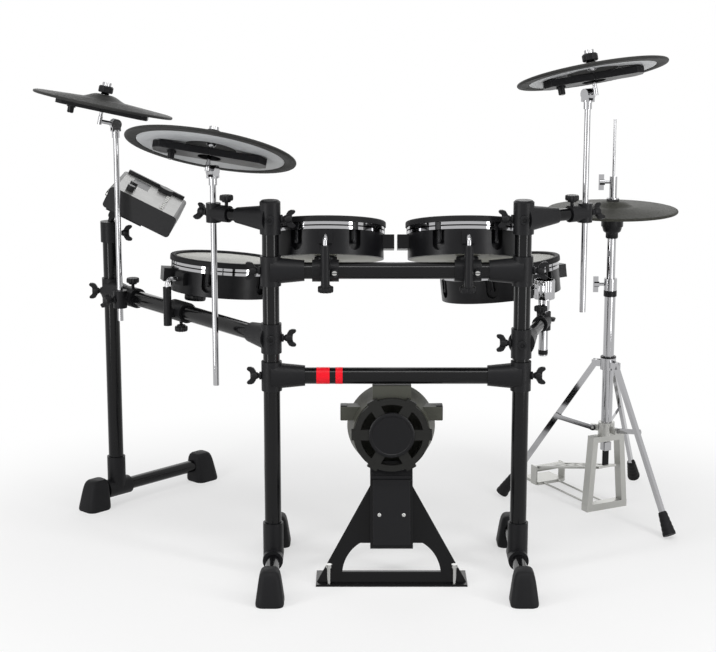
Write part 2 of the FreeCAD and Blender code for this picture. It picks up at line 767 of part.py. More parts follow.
def tom_arm(name, bar_z):
    """Bent rod from a holder into a pad."""
    bend = PADS[name][1]
    start = V(bend.x, bend.y, bar_z - HOLDER_LOW)
    return bent_rod(start, bend, arm_end(name), PAD_ARM_R, PAD_ARM_BEND)


def pad_arms():
    """Bent rod of the floor tom, and the snare's tube with its holder."""
    bend = PADS["snare"][1]
    half = Z_AXIS * (SNARE_HOLDER_H / 2)
    low = SNARE_FOOT + Z_AXIS * (SNARE_TUBE_LOW + SNARE_TIP_H)
    holder = fused(rod(low, bend, SNARE_TUBE_R), rod(bend - half, bend + half, SNARE_HOLDER_R))
    holder = fused(holder, rod(bend, arm_end("snare"), SNARE_ARM_R))
    tip = rod(SNARE_FOOT + Z_AXIS * SNARE_TUBE_LOW, low, SNARE_TUBE_R)
    return [tom_arm("floor_tom", SIDE_BAR_Z), holder, tip]


def tom_clamp(side):
    """Ring that turns on the tom bar, with an upright holder in front of it and a knob under it."""
    middle = V(side * TOM_X, 0, TOM_BAR_Z)
    half = V(PAD_CLAMP_W / 2, 0, 0)
    holder_at = V(side * TOM_X, TOM_BEND_Y, TOM_BAR_Z)
    holder = rod(holder_at - Z_AXIS * HOLDER_LOW, holder_at + Z_AXIS * HOLDER_HIGH, HOLDER_R)
    bridge = block((middle + holder_at) / 2, HOLDER_R * 2, HOLDER_OFFSET, HOLDER_R * 2)
    body = fused(rod(middle - half, middle + half, PAD_CLAMP_R), bridge, holder)
    over = V(CUT_OVERRUN, 0, 0)
    body = body.cut(rod(middle - half - over, middle + half + over, PIPE_R + RUN_GAP))
    return [body.cut(holder_bore(holder_at)), thumb_knob(middle - Z_AXIS * PAD_CLAMP_R, -Z_AXIS)]


def holder_bore(holder_at):
    """Cutter for an upright rod in its holder."""
    low = holder_at - Z_AXIS * (HOLDER_LOW + CUT_OVERRUN)
    return rod(low, holder_at + Z_AXIS * (HOLDER_HIGH + CUT_OVERRUN), PAD_ARM_R + SEAT_GAP)


def floor_clamp():
    """Ring on the side bar with an upright holder outside it."""
    holder_at = V(FLOOR_BEND_X, FLOOR_BEND_Y, SIDE_BAR_Z)
    along = (holder_at - LEFT_POST).dot(SIDE_DIRECTION)
    middle = LEFT_POST + SIDE_DIRECTION * along + Z_AXIS * SIDE_BAR_Z
    reach = (holder_at - middle).Length
    bridge = block((middle + holder_at) / 2, HOLDER_R * 2, reach, HOLDER_R * 2, SIDE_TURN)
    holder = rod(holder_at - Z_AXIS * HOLDER_LOW, holder_at + Z_AXIS * HOLDER_HIGH, HOLDER_R)
    body = fused(side_ring(along, PAD_CLAMP_W), bridge, holder)
    return body.cut(side_bore()).cut(holder_bore(holder_at))


def pad_clamps():
    """Clamps of the floor tom and of the snare's tube."""
    post, foot, height = ARMS[2]
    snare = rod_clamp(foot, height, (foot - post).normalize(), ARM_R)
    snare = snare.cut(rod_bore(foot, height, SNARE_TUBE_R + SEAT_GAP))
    return [floor_clamp(), snare]


# Wing bolts

def wing_bolt(seat, facing):
    """Bolt with two wings; its stem leaves seat along facing."""
    hub_low = V(0, 0, BOLT_STEM)
    hub = rod(hub_low, hub_low + Z_AXIS * WING_HUB_H, WING_HUB_R)
    wing_z = BOLT_STEM + WING_HUB_H - WING_H / 3
    body = fused(rod(V(), hub_low, BOLT_R), hub, block(V(0, 0, wing_z), WING_SPAN, WING_T, WING_H))
    return moved(body, FreeCAD.Placement(seat, FreeCAD.Rotation(Z_AXIS, facing)))


def thumb_knob(seat, facing):
    """Round knob on a short stem."""
    top = V(0, 0, BOLT_STEM)
    body = fused(rod(V(), top, BOLT_R), rod(top, top + Z_AXIS * KNOB_H, KNOB_R))
    return moved(body, FreeCAD.Placement(seat, FreeCAD.Rotation(Z_AXIS, facing)))


def bolts():
    """Every wing bolt and thumb knob of the rack."""
    shapes = []
    for post, side in ((LEFT_POST, -1), (RIGHT_POST, 1)):
        outward = V(side, 0, 0)
        for height in (TOM_BAR_Z, LOWER_BAR_Z):
            shapes.append(wing_bolt(post + outward * TEE_R + Z_AXIS * height, outward))
        inward_seat = post - outward * TEE_R + Z_AXIS * TOP_TEE_Z
        shapes.append(wing_bolt(inward_seat, -outward))
    shapes.append(wing_bolt(LEFT_POST + V(TEE_R, 0, SIDE_BAR_Z), V(1, 0, 0)))
    shapes.append(wing_bolt(RIGHT_POST + V(-TEE_R, 0, SNARE_ARM_Z), V(-1, 0, 0)))
    shapes.append(wing_bolt(REAR_POST + V(-TEE_R, 0, SIDE_BAR_Z), V(-1, 0, 0)))
    for post, foot, height in ARMS:
        along = (foot - post).normalize()
        seat = foot + along * CLAMP_R + Z_AXIS * height
        shapes.append(wing_bolt(seat, along))
        socket = foot - along * (CLAMP_SOCKET_L - KNOB_R / 2)
        shapes.append(thumb_knob(socket + Z_AXIS * (height + CLAMP_SOCKET_R), Z_AXIS))
    ring_top = LEFT_POST + SIDE_DIRECTION * CRASH_LEFT_ALONG + Z_AXIS * (SIDE_BAR_Z + PAD_CLAMP_R)
    shapes.append(thumb_knob(ring_top, Z_AXIS))
    shapes.append(wing_bolt(CRASH_LEFT_FOOT + SIDE_OUT * CLAMP_R + Z_AXIS * SIDE_BAR_Z, SIDE_OUT))
    floor_along = (V(FLOOR_BEND_X, FLOOR_BEND_Y, 0) - LEFT_POST).dot(SIDE_DIRECTION)
    floor_ring = LEFT_POST + SIDE_DIRECTION * floor_along + Z_AXIS * SIDE_BAR_Z
    shapes.append(thumb_knob(floor_ring - Z_AXIS * PAD_CLAMP_R, -Z_AXIS))
    module_seat = REAR_POST + V(TEE_R, 0, REAR_POST_TOP - CLAMP_H / 2)
    shapes.append(wing_bolt(module_seat, V(1, 0, 0)))
    return shapes


# Cymbals

def cymbal_frame(foot, high, back, roll, offset):
    """Tilter pivot, hinge axis, stud foot and pad placement of one cymbal."""
    pivot = foot + Z_AXIS * (high + KNUCKLE_RISE)
    rotation = tilted(V(), back, roll).Rotation
    normal = rotation.multVec(Z_AXIS)
    axis = Z_AXIS.cross(normal).normalize()
    stud_foot = pivot + normal.cross(axis) * offset
    return pivot, axis, stud_foot, FreeCAD.Placement(stud_foot + normal * STUD_LENGTH, rotation)


# Cymbals: rod foot, rod ends, pad radius, tilts, stud offset
CYMBALS = {
    "ride": (RIDE_FOOT, RIDE_LOW, RIDE_HIGH, RIDE_R, RIDE_BACK, RIDE_ROLL, STUD_OFFSET),
    "right_crash": (CRASH_RIGHT_FOOT, CRASH_RIGHT_LOW, CRASH_RIGHT_HIGH, CRASH_R, CRASH_RIGHT_BACK,
                    CRASH_RIGHT_ROLL, STUD_OFFSET),
    "left_crash": (CRASH_LEFT_FOOT, CRASH_LEFT_LOW, CRASH_LEFT_HIGH, CRASH_R, CRASH_LEFT_BACK,
                   CRASH_LEFT_ROLL, CRASH_LEFT_OFFSET),
}
BELL_TOP = BELL_THICK / 2
BOW_TOP = BELL_TOP - BELL_RISE


def pad_disc(radius):
    """Rubber-covered disc with a bell, about the middle of its hole."""
    inner = radius - RIM_BAND
    profile = [(0, -BELL_TOP), (BELL_R / 2, -BELL_TOP), (BELL_R, BOW_TOP - PAD_SKIN)]
    profile += [(inner, -PAD_DROP - PAD_SKIN), (inner, -PAD_DROP - PAD_EDGE)]
    profile += [(radius, -PAD_DROP - PAD_EDGE), (radius, -PAD_DROP)]
    profile += [(BELL_R, BOW_TOP), (BELL_R / 2, BELL_TOP), (0, BELL_TOP)]
    return revolved(profile)


def cymbal_pad(radius):
    """Pad with a socket for the stud's ball, the grey plate under it and the sensor bar with its jack."""
    disc = pad_disc(radius)
    inner = radius - RIM_BAND
    under = [(BELL_R, BOW_TOP - PAD_SKIN), (inner, -PAD_DROP - PAD_SKIN)]
    plate_low = [(inner, -PAD_DROP - PAD_SKIN - PLATE_T), (BELL_R, BOW_TOP - PAD_SKIN - PLATE_T)]
    plate = revolved(under + plate_low)
    bar_low = -PAD_DROP - PAD_SKIN - PLATE_T - SENSOR_H
    half = radius * SENSOR_SHARE
    bar = block(V(0, 0, (bar_low - PAD_DROP) / 2), half * 2, SENSOR_W, -PAD_DROP - bar_low)
    jack = V(-half * SENSOR_SHARE, 0, bar_low)
    jack_end = jack - Z_AXIS * JACK_L
    bar = fused(bar, rod(jack_end, jack, JACK_R)).cut(disc).cut(plate)
    bar = bar.cut(rod(jack_end, jack, JACK_BORE_R))
    bar = bar.cut(rod(V(0, 0, bar_low - CUT_OVERRUN), V(0, 0, BELL_TOP), SENSOR_HOLE_R))
    return [disc.cut(Part.makeSphere(BALL_R + CLEAR_GAP)), plate, bar]


def tilter(pivot, axis, stud_foot, place):
    """Upper knuckle with the offset stud, the ball that the pad rocks on and the finned nut."""
    half = axis * (KNUCKLE_W / 2)
    normal = place.Rotation.multVec(Z_AXIS)
    ball = place.Base
    body = fused(rod(pivot - half, pivot + half, KNUCKLE_R), rod(pivot, stud_foot, TILT_ARM_R))
    body = fused(body, rod(stud_foot - normal * STUD_BASE_H, stud_foot + normal * KNUCKLE_W, STUD_BASE_R))
    body = fused(body, rod(stud_foot, ball, STUD_R), Part.makeSphere(BALL_R, ball))
    over = axis * CUT_OVERRUN
    body = body.cut(rod(pivot - half - over, pivot + half + over, TILT_PIN_R + RUN_GAP))
    nut_low = ball + normal * NUT_LOW
    nut_high = nut_low + normal * NUT_H
    nut = fused(rod(nut_low, nut_high, NUT_R), rod(nut_high, nut_high + normal * FIN_H, FIN_R))
    slot = block(V(0, 0, NUT_LOW + NUT_H + FIN_H / 2), FIN_R * 2 + CUT_OVERRUN, FIN_SLOT, FIN_H)
    for turn in (0, 90):
        turned = place.multiply(FreeCAD.Placement(V(), FreeCAD.Rotation(Z_AXIS, turn)))
        nut = nut.cut(moved(slot, turned))
    return [body, nut.cut(Part.makeSphere(BALL_R, ball))]


def cymbal_rod(foot, low, high, pivot, axis):
    """Height rod with a collar and the fork that holds the tilter's pin."""
    top = foot + Z_AXIS * high
    base_high = KNUCKLE_RISE - KNUCKLE_R - CLEAR_GAP
    body = fused(rod(foot + Z_AXIS * low, top, ROD_R), rod(top - Z_AXIS * ROD_COLLAR_H, top, ROD_COLLAR_R))
    body = fused(body, rod(top, top + Z_AXIS * base_high, KNUCKLE_R))
    turn = math.degrees(math.atan2(axis.y, axis.x))
    ear_at = KNUCKLE_W / 2 + CLEAR_GAP + FORK_EAR / 2
    for side in (-1, 1):
        middle = pivot + axis * (side * ear_at)
        half = axis * (FORK_EAR / 2)
        cheek = block(middle - Z_AXIS * (KNUCKLE_RISE / 2), FORK_EAR, FORK_CHEEK_W, KNUCKLE_RISE, turn)
        body = fused(body, cheek, rod(middle - half, middle + half, KNUCKLE_R))
    return [fused(body, rod(pivot - axis * ear_at, pivot + axis * ear_at, TILT_PIN_R))]


def cymbal_nodes():
    """Pad, tilter and rod of every cymbal, in place."""
    found = {}
    for name, (foot, low, high, radius, back, roll, offset) in CYMBALS.items():
        pivot, axis, stud_foot, place = cymbal_frame(foot, high, back, roll, offset)
        found[f"{name}_pad"] = [moved(shape, place) for shape in cymbal_pad(radius)]
        found[f"{name}_tilter"] = tilter(pivot, axis, stud_foot, place)
        found[f"{name}_rod"] = cymbal_rod(foot, low, high, pivot, axis)
    return found


# Kick tower

KICK_SLOPE = math.degrees(math.atan2(-KICK_FRONT, KICK_LEG_TOP_Z))
KICK_LEG_L = math.hypot(KICK_FRONT, KICK_LEG_TOP_Z)
KICK_LEG_FOOT = V(KICK_X, KICK_FRONT + KICK_LEG_SET, 0)
KICK_SLOPE_PLACE = FreeCAD.Placement(KICK_LEG_FOOT, FreeCAD.Rotation(V(1, 0, 0), -KICK_SLOPE))
KICK_CENTRE = V(KICK_X, 0, KICK_PAD_Z)
KICK_FACE = FreeCAD.Placement(KICK_CENTRE, FreeCAD.Rotation(V(1, 0, 0), -90))
KICK_RING_BACK = KICK_HOUSING_FRONT + KICK_RING_T
KICK_BACK = KICK_RING_BACK + KICK_HOUSING_D


def kick_base():
    """Bent plate: floor strip and sloped legs with an arch between them, drilled for the spikes."""
    half_low = KICK_BASE_W / 2
    half_top = KICK_LEG_TOP_W / 2
    outline = [V(-half_low, 0, 0), V(half_low, 0, 0)]
    outline += [V(half_top, 0, KICK_LEG_L), V(-half_top, 0, KICK_LEG_L)]
    legs = Part.Face(Part.makePolygon(outline + outline[:1])).extrude(V(0, -KICK_PLATE_T, 0))
    arch_half = KICK_ARCH_W / 2
    arch_top = KICK_ARCH_TOP_W / 2
    bulge = V((arch_half + arch_top) / 2 + KICK_ARCH_BULGE, 0, (KICK_ARCH_LOW + KICK_ARCH_HIGH) / 2)
    low = V(arch_half, 0, KICK_ARCH_LOW)
    high = V(arch_top, 0, KICK_ARCH_HIGH)
    edges = [Part.Arc(low, bulge, high).toShape(), Part.LineSegment(high, V(-high.x, 0, high.z)).toShape()]
    edges.append(Part.Arc(V(-high.x, 0, high.z), V(-bulge.x, 0, bulge.z), V(-low.x, 0, low.z)).toShape())
    edges.append(Part.LineSegment(V(-low.x, 0, low.z), low).toShape())
    arch = Part.Face(Part.Wire(edges)).extrude(V(0, -KICK_PLATE_T, 0))
    legs = moved(legs.cut(arch), KICK_SLOPE_PLACE)
    depth = KICK_STRIP_BACK - KICK_FRONT
    strip = block(V(KICK_X, KICK_FRONT + depth / 2, KICK_PLATE_T / 2), KICK_BASE_W, depth, KICK_PLATE_T)
    body = fused(strip, legs)
    for foot in kick_spike_feet():
        body = body.cut(rod(foot, foot + Z_AXIS * KICK_SPIKE_H, KICK_SPIKE_R + SEAT_GAP))
    return [body]


def kick_spike_feet():
    """Places of the spike bolts on the floor."""
    reach = KICK_BASE_W / 2 - KICK_SPIKE_INSET
    return [V(KICK_X + side * reach, KICK_FRONT + KICK_SPIKE_HEAD_R, 0) for side in (-1, 1)]


def kick_spikes():
    """Two pointed bolts at the front corners."""
    shapes = []
    for foot in kick_spike_feet():
        head = foot + Z_AXIS * KICK_SPIKE_H
        knob = rod(head, head + Z_AXIS * KICK_SPIKE_HEAD_H, KICK_SPIKE_HEAD_R)
        shapes.append(fused(rod(foot, head, KICK_SPIKE_R), knob))
    return shapes


def about_face(shape):
    """Shape made about Z, turned to look along -Y at the kick pad's centre."""
    return moved(shape, KICK_FACE)


def kick_column():
    """Box in front of the legs that carries the housing."""
    length = KICK_COLUMN_HIGH - KICK_COLUMN_LOW
    middle = V(0, -KICK_PLATE_T - KICK_COLUMN_D / 2, KICK_COLUMN_LOW + length / 2)
    column = moved(block(middle, KICK_LEG_TOP_W, KICK_COLUMN_D, length), KICK_SLOPE_PLACE)
    return [column.cut(housing_cone(SEAT_GAP))]


def housing_cone(gap):
    """Outside of the kick housing, wider at the back."""
    start = V(0, 0, KICK_RING_BACK)
    return about_face(cone(start, V(0, 0, KICK_BACK), KICK_HOUSING_FRONT_R + gap, KICK_HOUSING_R + gap))


def kick_housing():
    """Open drum with a hood, side ears and the wall that carries the sensor."""
    depth = KICK_BACK - KICK_RING_BACK
    middle_y = (KICK_BACK + KICK_RING_BACK) / 2
    body = housing_cone(0)
    ears = block(KICK_CENTRE + V(0, middle_y, KICK_EAR_RISE), KICK_EAR_SPAN, KICK_EAR_W, KICK_EAR_H)
    hood = block(KICK_CENTRE + V(0, middle_y, KICK_HOOD_TOP / 2), KICK_HOOD_W, depth, KICK_HOOD_TOP)
    body = fused(body, ears, hood)
    front_r = KICK_HOUSING_FRONT_R - KICK_HOUSING_WALL
    back_r = KICK_HOUSING_R - KICK_HOUSING_WALL
    front = rod(V(0, 0, KICK_RING_BACK - CUT_OVERRUN), V(0, 0, KICK_WALL_Y), front_r)
    back = rod(V(0, 0, KICK_WALL_Y + KICK_HOUSING_WALL), V(0, 0, KICK_BACK + CUT_OVERRUN), back_r)
    return [body.cut(about_face(front)).cut(about_face(back))]


def kick_ring():
    """Front ring, six spokes and the bare centre disc."""
    body = ring(KICK_RING_R - KICK_RING_BAND, KICK_RING_R, KICK_HOUSING_FRONT, KICK_RING_BACK)
    body = fused(body, rod(V(0, 0, KICK_HOUSING_FRONT), V(0, 0, KICK_RING_BACK), KICK_DISC_R))
    middle = (KICK_HOUSING_FRONT + KICK_RING_BACK) / 2
    start = KICK_DISC_R - KICK_RING_BAND / 2
    end = KICK_RING_R + KICK_SPOKE_OUT
    for index in range(KICK_SPOKES):
        turn = 360 * index / KICK_SPOKES
        centre = polar(turn, (start + end) / 2, middle)
        body = fused(body, block(centre, end - start, KICK_SPOKE_W, KICK_RING_T, turn))
    return [about_face(body)]


def kick_pad():
    """Striking pad, foam behind it and the sensor on the housing's wall."""
    foam_low = KICK_WALL_Y + KICK_HOUSING_WALL
    foam = rod(V(0, 0, foam_low), V(0, 0, KICK_BACK), KICK_HOUSING_R - KICK_HOUSING_WALL - SEAT_GAP)
    pad = rod(V(0, 0, KICK_BACK), V(0, 0, KICK_BACK + KICK_PAD_T), KICK_PAD_R)
    sensor = rod(V(0, 0, KICK_WALL_Y - KICK_SENSOR_T), V(0, 0, KICK_WALL_Y), KICK_SENSOR_R)
    return [about_face(shape) for shape in (pad, foam, sensor)]


# Hi-hat

HIHAT = V(HIHAT_X, HIHAT_Y, 0)
CUP_TOP = HIHAT_PAD_Z - BELL_TOP - HIHAT_TRAVEL - CLEAR_GAP * 2
CUP_LOW = CUP_TOP - HIHAT_CUP_H
PEDAL = polar(PEDAL_TURN)
PEDAL_SIDE = polar(PEDAL_TURN + 90)
LEG_DOWN = math.cos(math.radians(LEG_SPREAD))
LEG_OUT = math.sin(math.radians(LEG_SPREAD))
LEG_END_Z = LEG_TIP_R * LEG_OUT
LEG_L = (COLLAR_Z - LEG_END_Z) / LEG_DOWN
BRACE_SIDE = LEG_T / 2 + CLEAR_GAP + BRACE_T / 2
BOARD_RISE = BOARD_TOE_Z - BOARD_HEEL_Z
BOARD_SLOPE = math.atan2(BOARD_RISE, BOARD_L)


def at_hihat(shape):
    """Shape made about Z, moved to the stand's axis."""
    return moved(shape, FreeCAD.Placement(HIHAT, FreeCAD.Rotation()))


def hihat_tubes():
    """Lower and upper tube, the height clamp between them and the cup under the pad."""
    lower = pipe(V(0, 0, HIHAT_HUB_Z), V(0, 0, HIHAT_SPLIT_Z), HIHAT_LOWER_R, HIHAT_TUBE_WALL)
    upper_low = HIHAT_SPLIT_Z - HIHAT_CLAMP_H
    upper = pipe(V(0, 0, upper_low), V(0, 0, CUP_LOW + HIHAT_CUP_SEAT), HIHAT_UPPER_R, HIHAT_TUBE_WALL)
    bore = HIHAT_UPPER_R + SEAT_GAP
    clamp_r = HIHAT_LOWER_R + HIHAT_TUBE_WALL
    clamp = ring(bore, clamp_r, HIHAT_SPLIT_Z, HIHAT_SPLIT_Z + HIHAT_CLAMP_H)
    bolt = wing_bolt(V(-clamp_r, 0, HIHAT_SPLIT_Z + HIHAT_CLAMP_H / 2), V(-1, 0, 0))
    recess = CLUTCH_NUT_R + HIHAT_CUP_ROOM
    deep = CUP_TOP - CLUTCH_NUT_H - HIHAT_TRAVEL
    seat = CUP_LOW + HIHAT_CUP_SEAT
    outside = [(bore, CUP_LOW), (HIHAT_CUP_NECK_R, CUP_LOW), (HIHAT_CUP_R, seat), (HIHAT_CUP_R, CUP_TOP)]
    outside += [(recess, CUP_TOP), (recess, deep), (HIHAT_ROD_BORE, deep)]
    outside += [(HIHAT_ROD_BORE, seat), (bore, seat)]
    return [at_hihat(shape) for shape in (lower, upper, clamp, bolt, revolved(outside))]


def hihat_pad():
    """Hi-hat pad on its clutch."""
    disc = pad_disc(HIHAT_PAD_R).cut(rod(V(0, 0, -BELL_R), V(0, 0, BELL_R), CLUTCH_R + SEAT_GAP))
    return [moved(disc, FreeCAD.Placement(HIHAT + Z_AXIS * HIHAT_PAD_Z, FreeCAD.Rotation()))]


def hihat_pull_rod():
    """Pull rod with the clutch, the yoke at its foot and the strap."""
    board_top = BOARD_TOE_Z + BOARD_T / math.cos(BOARD_SLOPE)
    strap_low = board_top + STRAP_T / 2 * math.tan(BOARD_SLOPE) + CLEAR_GAP
    strap_high = strap_low + STRAP_H
    shaft = rod(V(0, 0, strap_high + YOKE_H), V(0, 0, HIHAT_ROD_TOP), HIHAT_ROD_R)
    low = HIHAT_PAD_Z - BELL_TOP
    high = HIHAT_PAD_Z + BELL_TOP
    clutch = fused(ring(HIHAT_ROD_R + SEAT_GAP, CLUTCH_R, low - CLUTCH_NUT_H, high + CLUTCH_H),
                   ring(HIHAT_ROD_R + SEAT_GAP, CLUTCH_NUT_R, low - CLUTCH_NUT_H, low),
                   ring(HIHAT_ROD_R + SEAT_GAP, CLUTCH_NUT_R, high, high + CLUTCH_NUT_H))
    bolt = wing_bolt(V(-CLUTCH_R, 0, high + CLUTCH_H - WING_HUB_R * 2), V(-1, 0, 0))
    yoke = block(V(0, 0, strap_high + YOKE_H / 2), YOKE_W, YOKE_W, YOKE_H, PEDAL_TURN)
    strap = block(V(0, 0, strap_low + STRAP_H / 2), STRAP_T, STRAP_W, STRAP_H, PEDAL_TURN)
    return [at_hihat(shape) for shape in (shaft, clutch, bolt, yoke, strap)]


def hihat_frame():
    """Hub with brace lugs and the cast open frame that stands on the floor."""
    hub_half = HIHAT_HUB_H / 2
    body = rod(V(0, 0, HIHAT_HUB_Z - hub_half), V(0, 0, HIHAT_HUB_Z + hub_half), HIHAT_HUB_R)
    head_z = HIHAT_HUB_Z - hub_half - FRAME_BAR / 2
    body = fused(body, block(V(0, 0, head_z), FRAME_TOP_W + FRAME_BAR, FRAME_D, FRAME_BAR, PEDAL_TURN + 90))
    foot = block(V(0, 0, FRAME_FOOT_H / 2), FRAME_LOW_W + FRAME_BAR, FRAME_D, FRAME_FOOT_H, PEDAL_TURN + 90)
    body = fused(body, foot)
    for side in (-1, 1):
        top = PEDAL_SIDE * (side * FRAME_TOP_W / 2) + Z_AXIS * head_z
        low = PEDAL_SIDE * (side * FRAME_LOW_W / 2) + Z_AXIS * (FRAME_FOOT_H / 2)
        body = fused(body, flat_bar(top, low, FRAME_BAR, FRAME_D, PEDAL))
    lug_t = LEG_T - BRACE_T / 2
    for turn in LEG_TURNS:
        side = polar(turn + 90)
        lug_side = BRACE_SIDE - BRACE_T / 2 - CLEAR_GAP - lug_t / 2
        reach = BRACE_PIVOT_R + LEG_EYE_R
        lug = block(polar(turn, reach / 2, HIHAT_HUB_Z) + side * lug_side, reach, lug_t, LEG_EYE_R * 2, turn)
        pin_at = polar(turn, BRACE_PIVOT_R, HIHAT_HUB_Z)
        pin = rod(pin_at + side * lug_side, pin_at + side * (BRACE_SIDE + BRACE_T), LUG_PIN_R)
        body = fused(body, lug, pin)
    body = body.cut(rod(V(0, 0, HIHAT_HUB_Z), V(0, 0, HIHAT_HUB_Z + HIHAT_HUB_H), HIHAT_LOWER_R + SEAT_GAP))
    body = body.cut(rod(V(0, 0, head_z - FRAME_BAR), V(0, 0, HIHAT_HUB_Z), HIHAT_ROD_BORE))
    return [at_hihat(body)]


def hihat_collar():
    """Collar that slides on the lower tube, with a pair of ears and a pin for each leg."""
    half = COLLAR_H / 2
    body = ring(HIHAT_LOWER_R - SEAT_GAP, COLLAR_R, COLLAR_Z - half, COLLAR_Z + half)
    ear_side = LEG_T / 2 + CLEAR_GAP + LEG_EAR / 2
    reach = LEG_PIVOT_R + LEG_EYE_R
    for turn in LEG_TURNS:
        side = polar(turn + 90)
        for sign in (-1, 1):
            ear_at = polar(turn, reach / 2, COLLAR_Z) + side * (sign * ear_side)
            body = fused(body, block(ear_at, reach, LEG_EAR, LEG_EYE_R * 2, turn))
        pivot = polar(turn, LEG_PIVOT_R, COLLAR_Z)
        body = fused(body, rod(pivot - side * ear_side, pivot + side * ear_side, LUG_PIN_R))
    over = Z_AXIS * (COLLAR_H + CUT_OVERRUN)
    bore = rod(V(0, 0, COLLAR_Z) - over, V(0, 0, COLLAR_Z) + over, HIHAT_LOWER_R + RUN_GAP)
    return [at_hihat(body.cut(bore))]


def leg_line(turn):
    """Pivot, end and direction of a leg."""
    pivot = polar(turn, LEG_PIVOT_R, COLLAR_Z)
    down = polar(turn, LEG_OUT, -LEG_DOWN)
    return pivot, pivot + down * LEG_L, down


def hihat_leg(turn):
    """Flat leg with an eye at its pivot and a rubber tip."""
    pivot, end, down = leg_line(turn)
    side = polar(turn + 90)
    half = side * (LEG_T / 2)
    leg = flat_bar(pivot, end - down * LEG_TIP_R, LEG_W, LEG_T, side)
    leg = fused(leg, rod(pivot - half, pivot + half, LEG_EYE_R))
    leg = leg.cut(rod(pivot - half * 2, pivot + half * 2, LUG_PIN_R + RUN_GAP))
    tip = cone(end - down * LEG_TIP_L, end, LEG_TIP_TOP_R, LEG_TIP_R).cut(leg)
    return [at_hihat(leg), at_hihat(tip)]


def hihat_brace(turn):
    """Flat brace from the hub to a leg, beside the leg."""
    pivot, _end, down = leg_line(turn)
    side = polar(turn + 90)
    start = polar(turn, BRACE_PIVOT_R, HIHAT_HUB_Z) + side * BRACE_SIDE
    end = pivot + down * (LEG_L * BRACE_SHARE) + side * BRACE_SIDE
    half = side * (BRACE_T / 2)
    body = fused(flat_bar(start, end, BRACE_W, BRACE_T, side), rod(start - half, start + half, LEG_EYE_R),
                 rod(end - half, end + half, LEG_EYE_R))
    return [at_hihat(body.cut(rod(start - half * 2, start + half * 2, LUG_PIN_R + RUN_GAP)))]


def hihat_footboard():
    """Tapered footboard with a hinge barrel at its heel."""
    toe = math.hypot(BOARD_L, BOARD_RISE) + BOARD_TOE_OVER
    outline = [V(0, -BOARD_W / 2, 0), V(toe, -BOARD_TOE_W / 2, 0)]
    outline += [V(toe, BOARD_TOE_W / 2, 0), V(0, BOARD_W / 2, 0)]
    board = Part.Face(Part.makePolygon(outline + outline[:1])).extrude(V(0, 0, BOARD_T))
    barrel = rod(V(0, -BOARD_W / 2, 0), V(0, BOARD_W / 2, 0), HINGE_R * 2)
    bore = rod(V(0, -BOARD_W, 0), V(0, BOARD_W, 0), HINGE_R + RUN_GAP)
    board = fused(board, barrel).cut(bore)
    raised = FreeCAD.Rotation(V(0, 1, 0), -math.degrees(BOARD_SLOPE))
    rotation = FreeCAD.Rotation(Z_AXIS, PEDAL_TURN + 180) * raised
    heel = HIHAT + PEDAL * BOARD_L + Z_AXIS * BOARD_HEEL_Z
    return [moved(board, FreeCAD.Placement(heel, rotation))]


def hihat_heel():
    """Heel plate with the hinge pin, and the wires that hold it to the frame."""
    centre = BOARD_L + HEEL_SET
    body = block(polar(PEDAL_TURN, centre, HEEL_T / 2), HEEL_L, BOARD_W, HEEL_T, PEDAL_TURN)
    pin_z = Z_AXIS * BOARD_HEEL_Z
    hinge = PEDAL * BOARD_L
    ear_side = BOARD_W / 2 + CLEAR_GAP + LEG_EAR / 2
    for side in (-1, 1):
        middle = hinge + PEDAL_SIDE * (side * ear_side) + Z_AXIS * ((BOARD_HEEL_Z + HINGE_R * 2) / 2)
        ear = block(middle, HEEL_BLOCK, LEG_EAR, BOARD_HEEL_Z + HINGE_R * 2, PEDAL_TURN)
        wide = block(hinge + PEDAL_SIDE * (side * (ear_side - LEG_EAR)) + Z_AXIS * (HEEL_T / 2), HEEL_BLOCK,
                     LEG_EAR * 3, HEEL_T, PEDAL_TURN)
        body = fused(body, ear, wide)
    reach = PEDAL_SIDE * ear_side
    body = fused(body, rod(hinge - reach + pin_z, hinge + reach + pin_z, HINGE_R))
    shapes = [body]
    for side in (-1, 1):
        offset = PEDAL_SIDE * (side * WIRE_SPREAD / 2) + Z_AXIS * (HEEL_T / 2)
        shapes.append(rod(PEDAL * (FRAME_D / 2) + offset, PEDAL * (centre - HEEL_L / 2) + offset, WIRE_R))
    return [at_hihat(shape) for shape in shapes]


# Sound module

MODULE_Y = MODULE_NEAR_Y + MODULE_W / 2
MODULE_PLACE = tilted(V(MODULE_X, MODULE_Y, MODULE_Z), 0, -MODULE_TILT)
MODULE_POST_Y = REAR_POST_Y - MODULE_Y
MODULE_HINGE = V(-MODULE_D * MODULE_HINGE_SHARE, MODULE_POST_Y, -MODULE_H / 2 - MODULE_HINGE_DROP)
PANEL_LOW = MODULE_H / 2 - MODULE_PANEL_T
# Places on the panel, as shares of its depth and width
DIAL_SHARES = (0.16, 0.36)
KNOB_SHARES = ((-0.26, -0.33), (-0.26, -0.12))
DISPLAY_SHARES = (-0.18, 0.20)
BUTTON_ROW_SHARE = 0.24


def on_panel(shares):
    """Point on the panel's top from shares of its depth and width."""
    return V(MODULE_D * shares[0], MODULE_W * shares[1], MODULE_H / 2)


def button_places():
    """Centres of the buttons on the panel's top."""
    first = -BUTTON_STEP * (BUTTON_COUNT + 1) / 2
    row = on_panel((BUTTON_ROW_SHARE, 0))
    return [row + V(0, first + BUTTON_STEP * index, 0) for index in range(BUTTON_COUNT)]


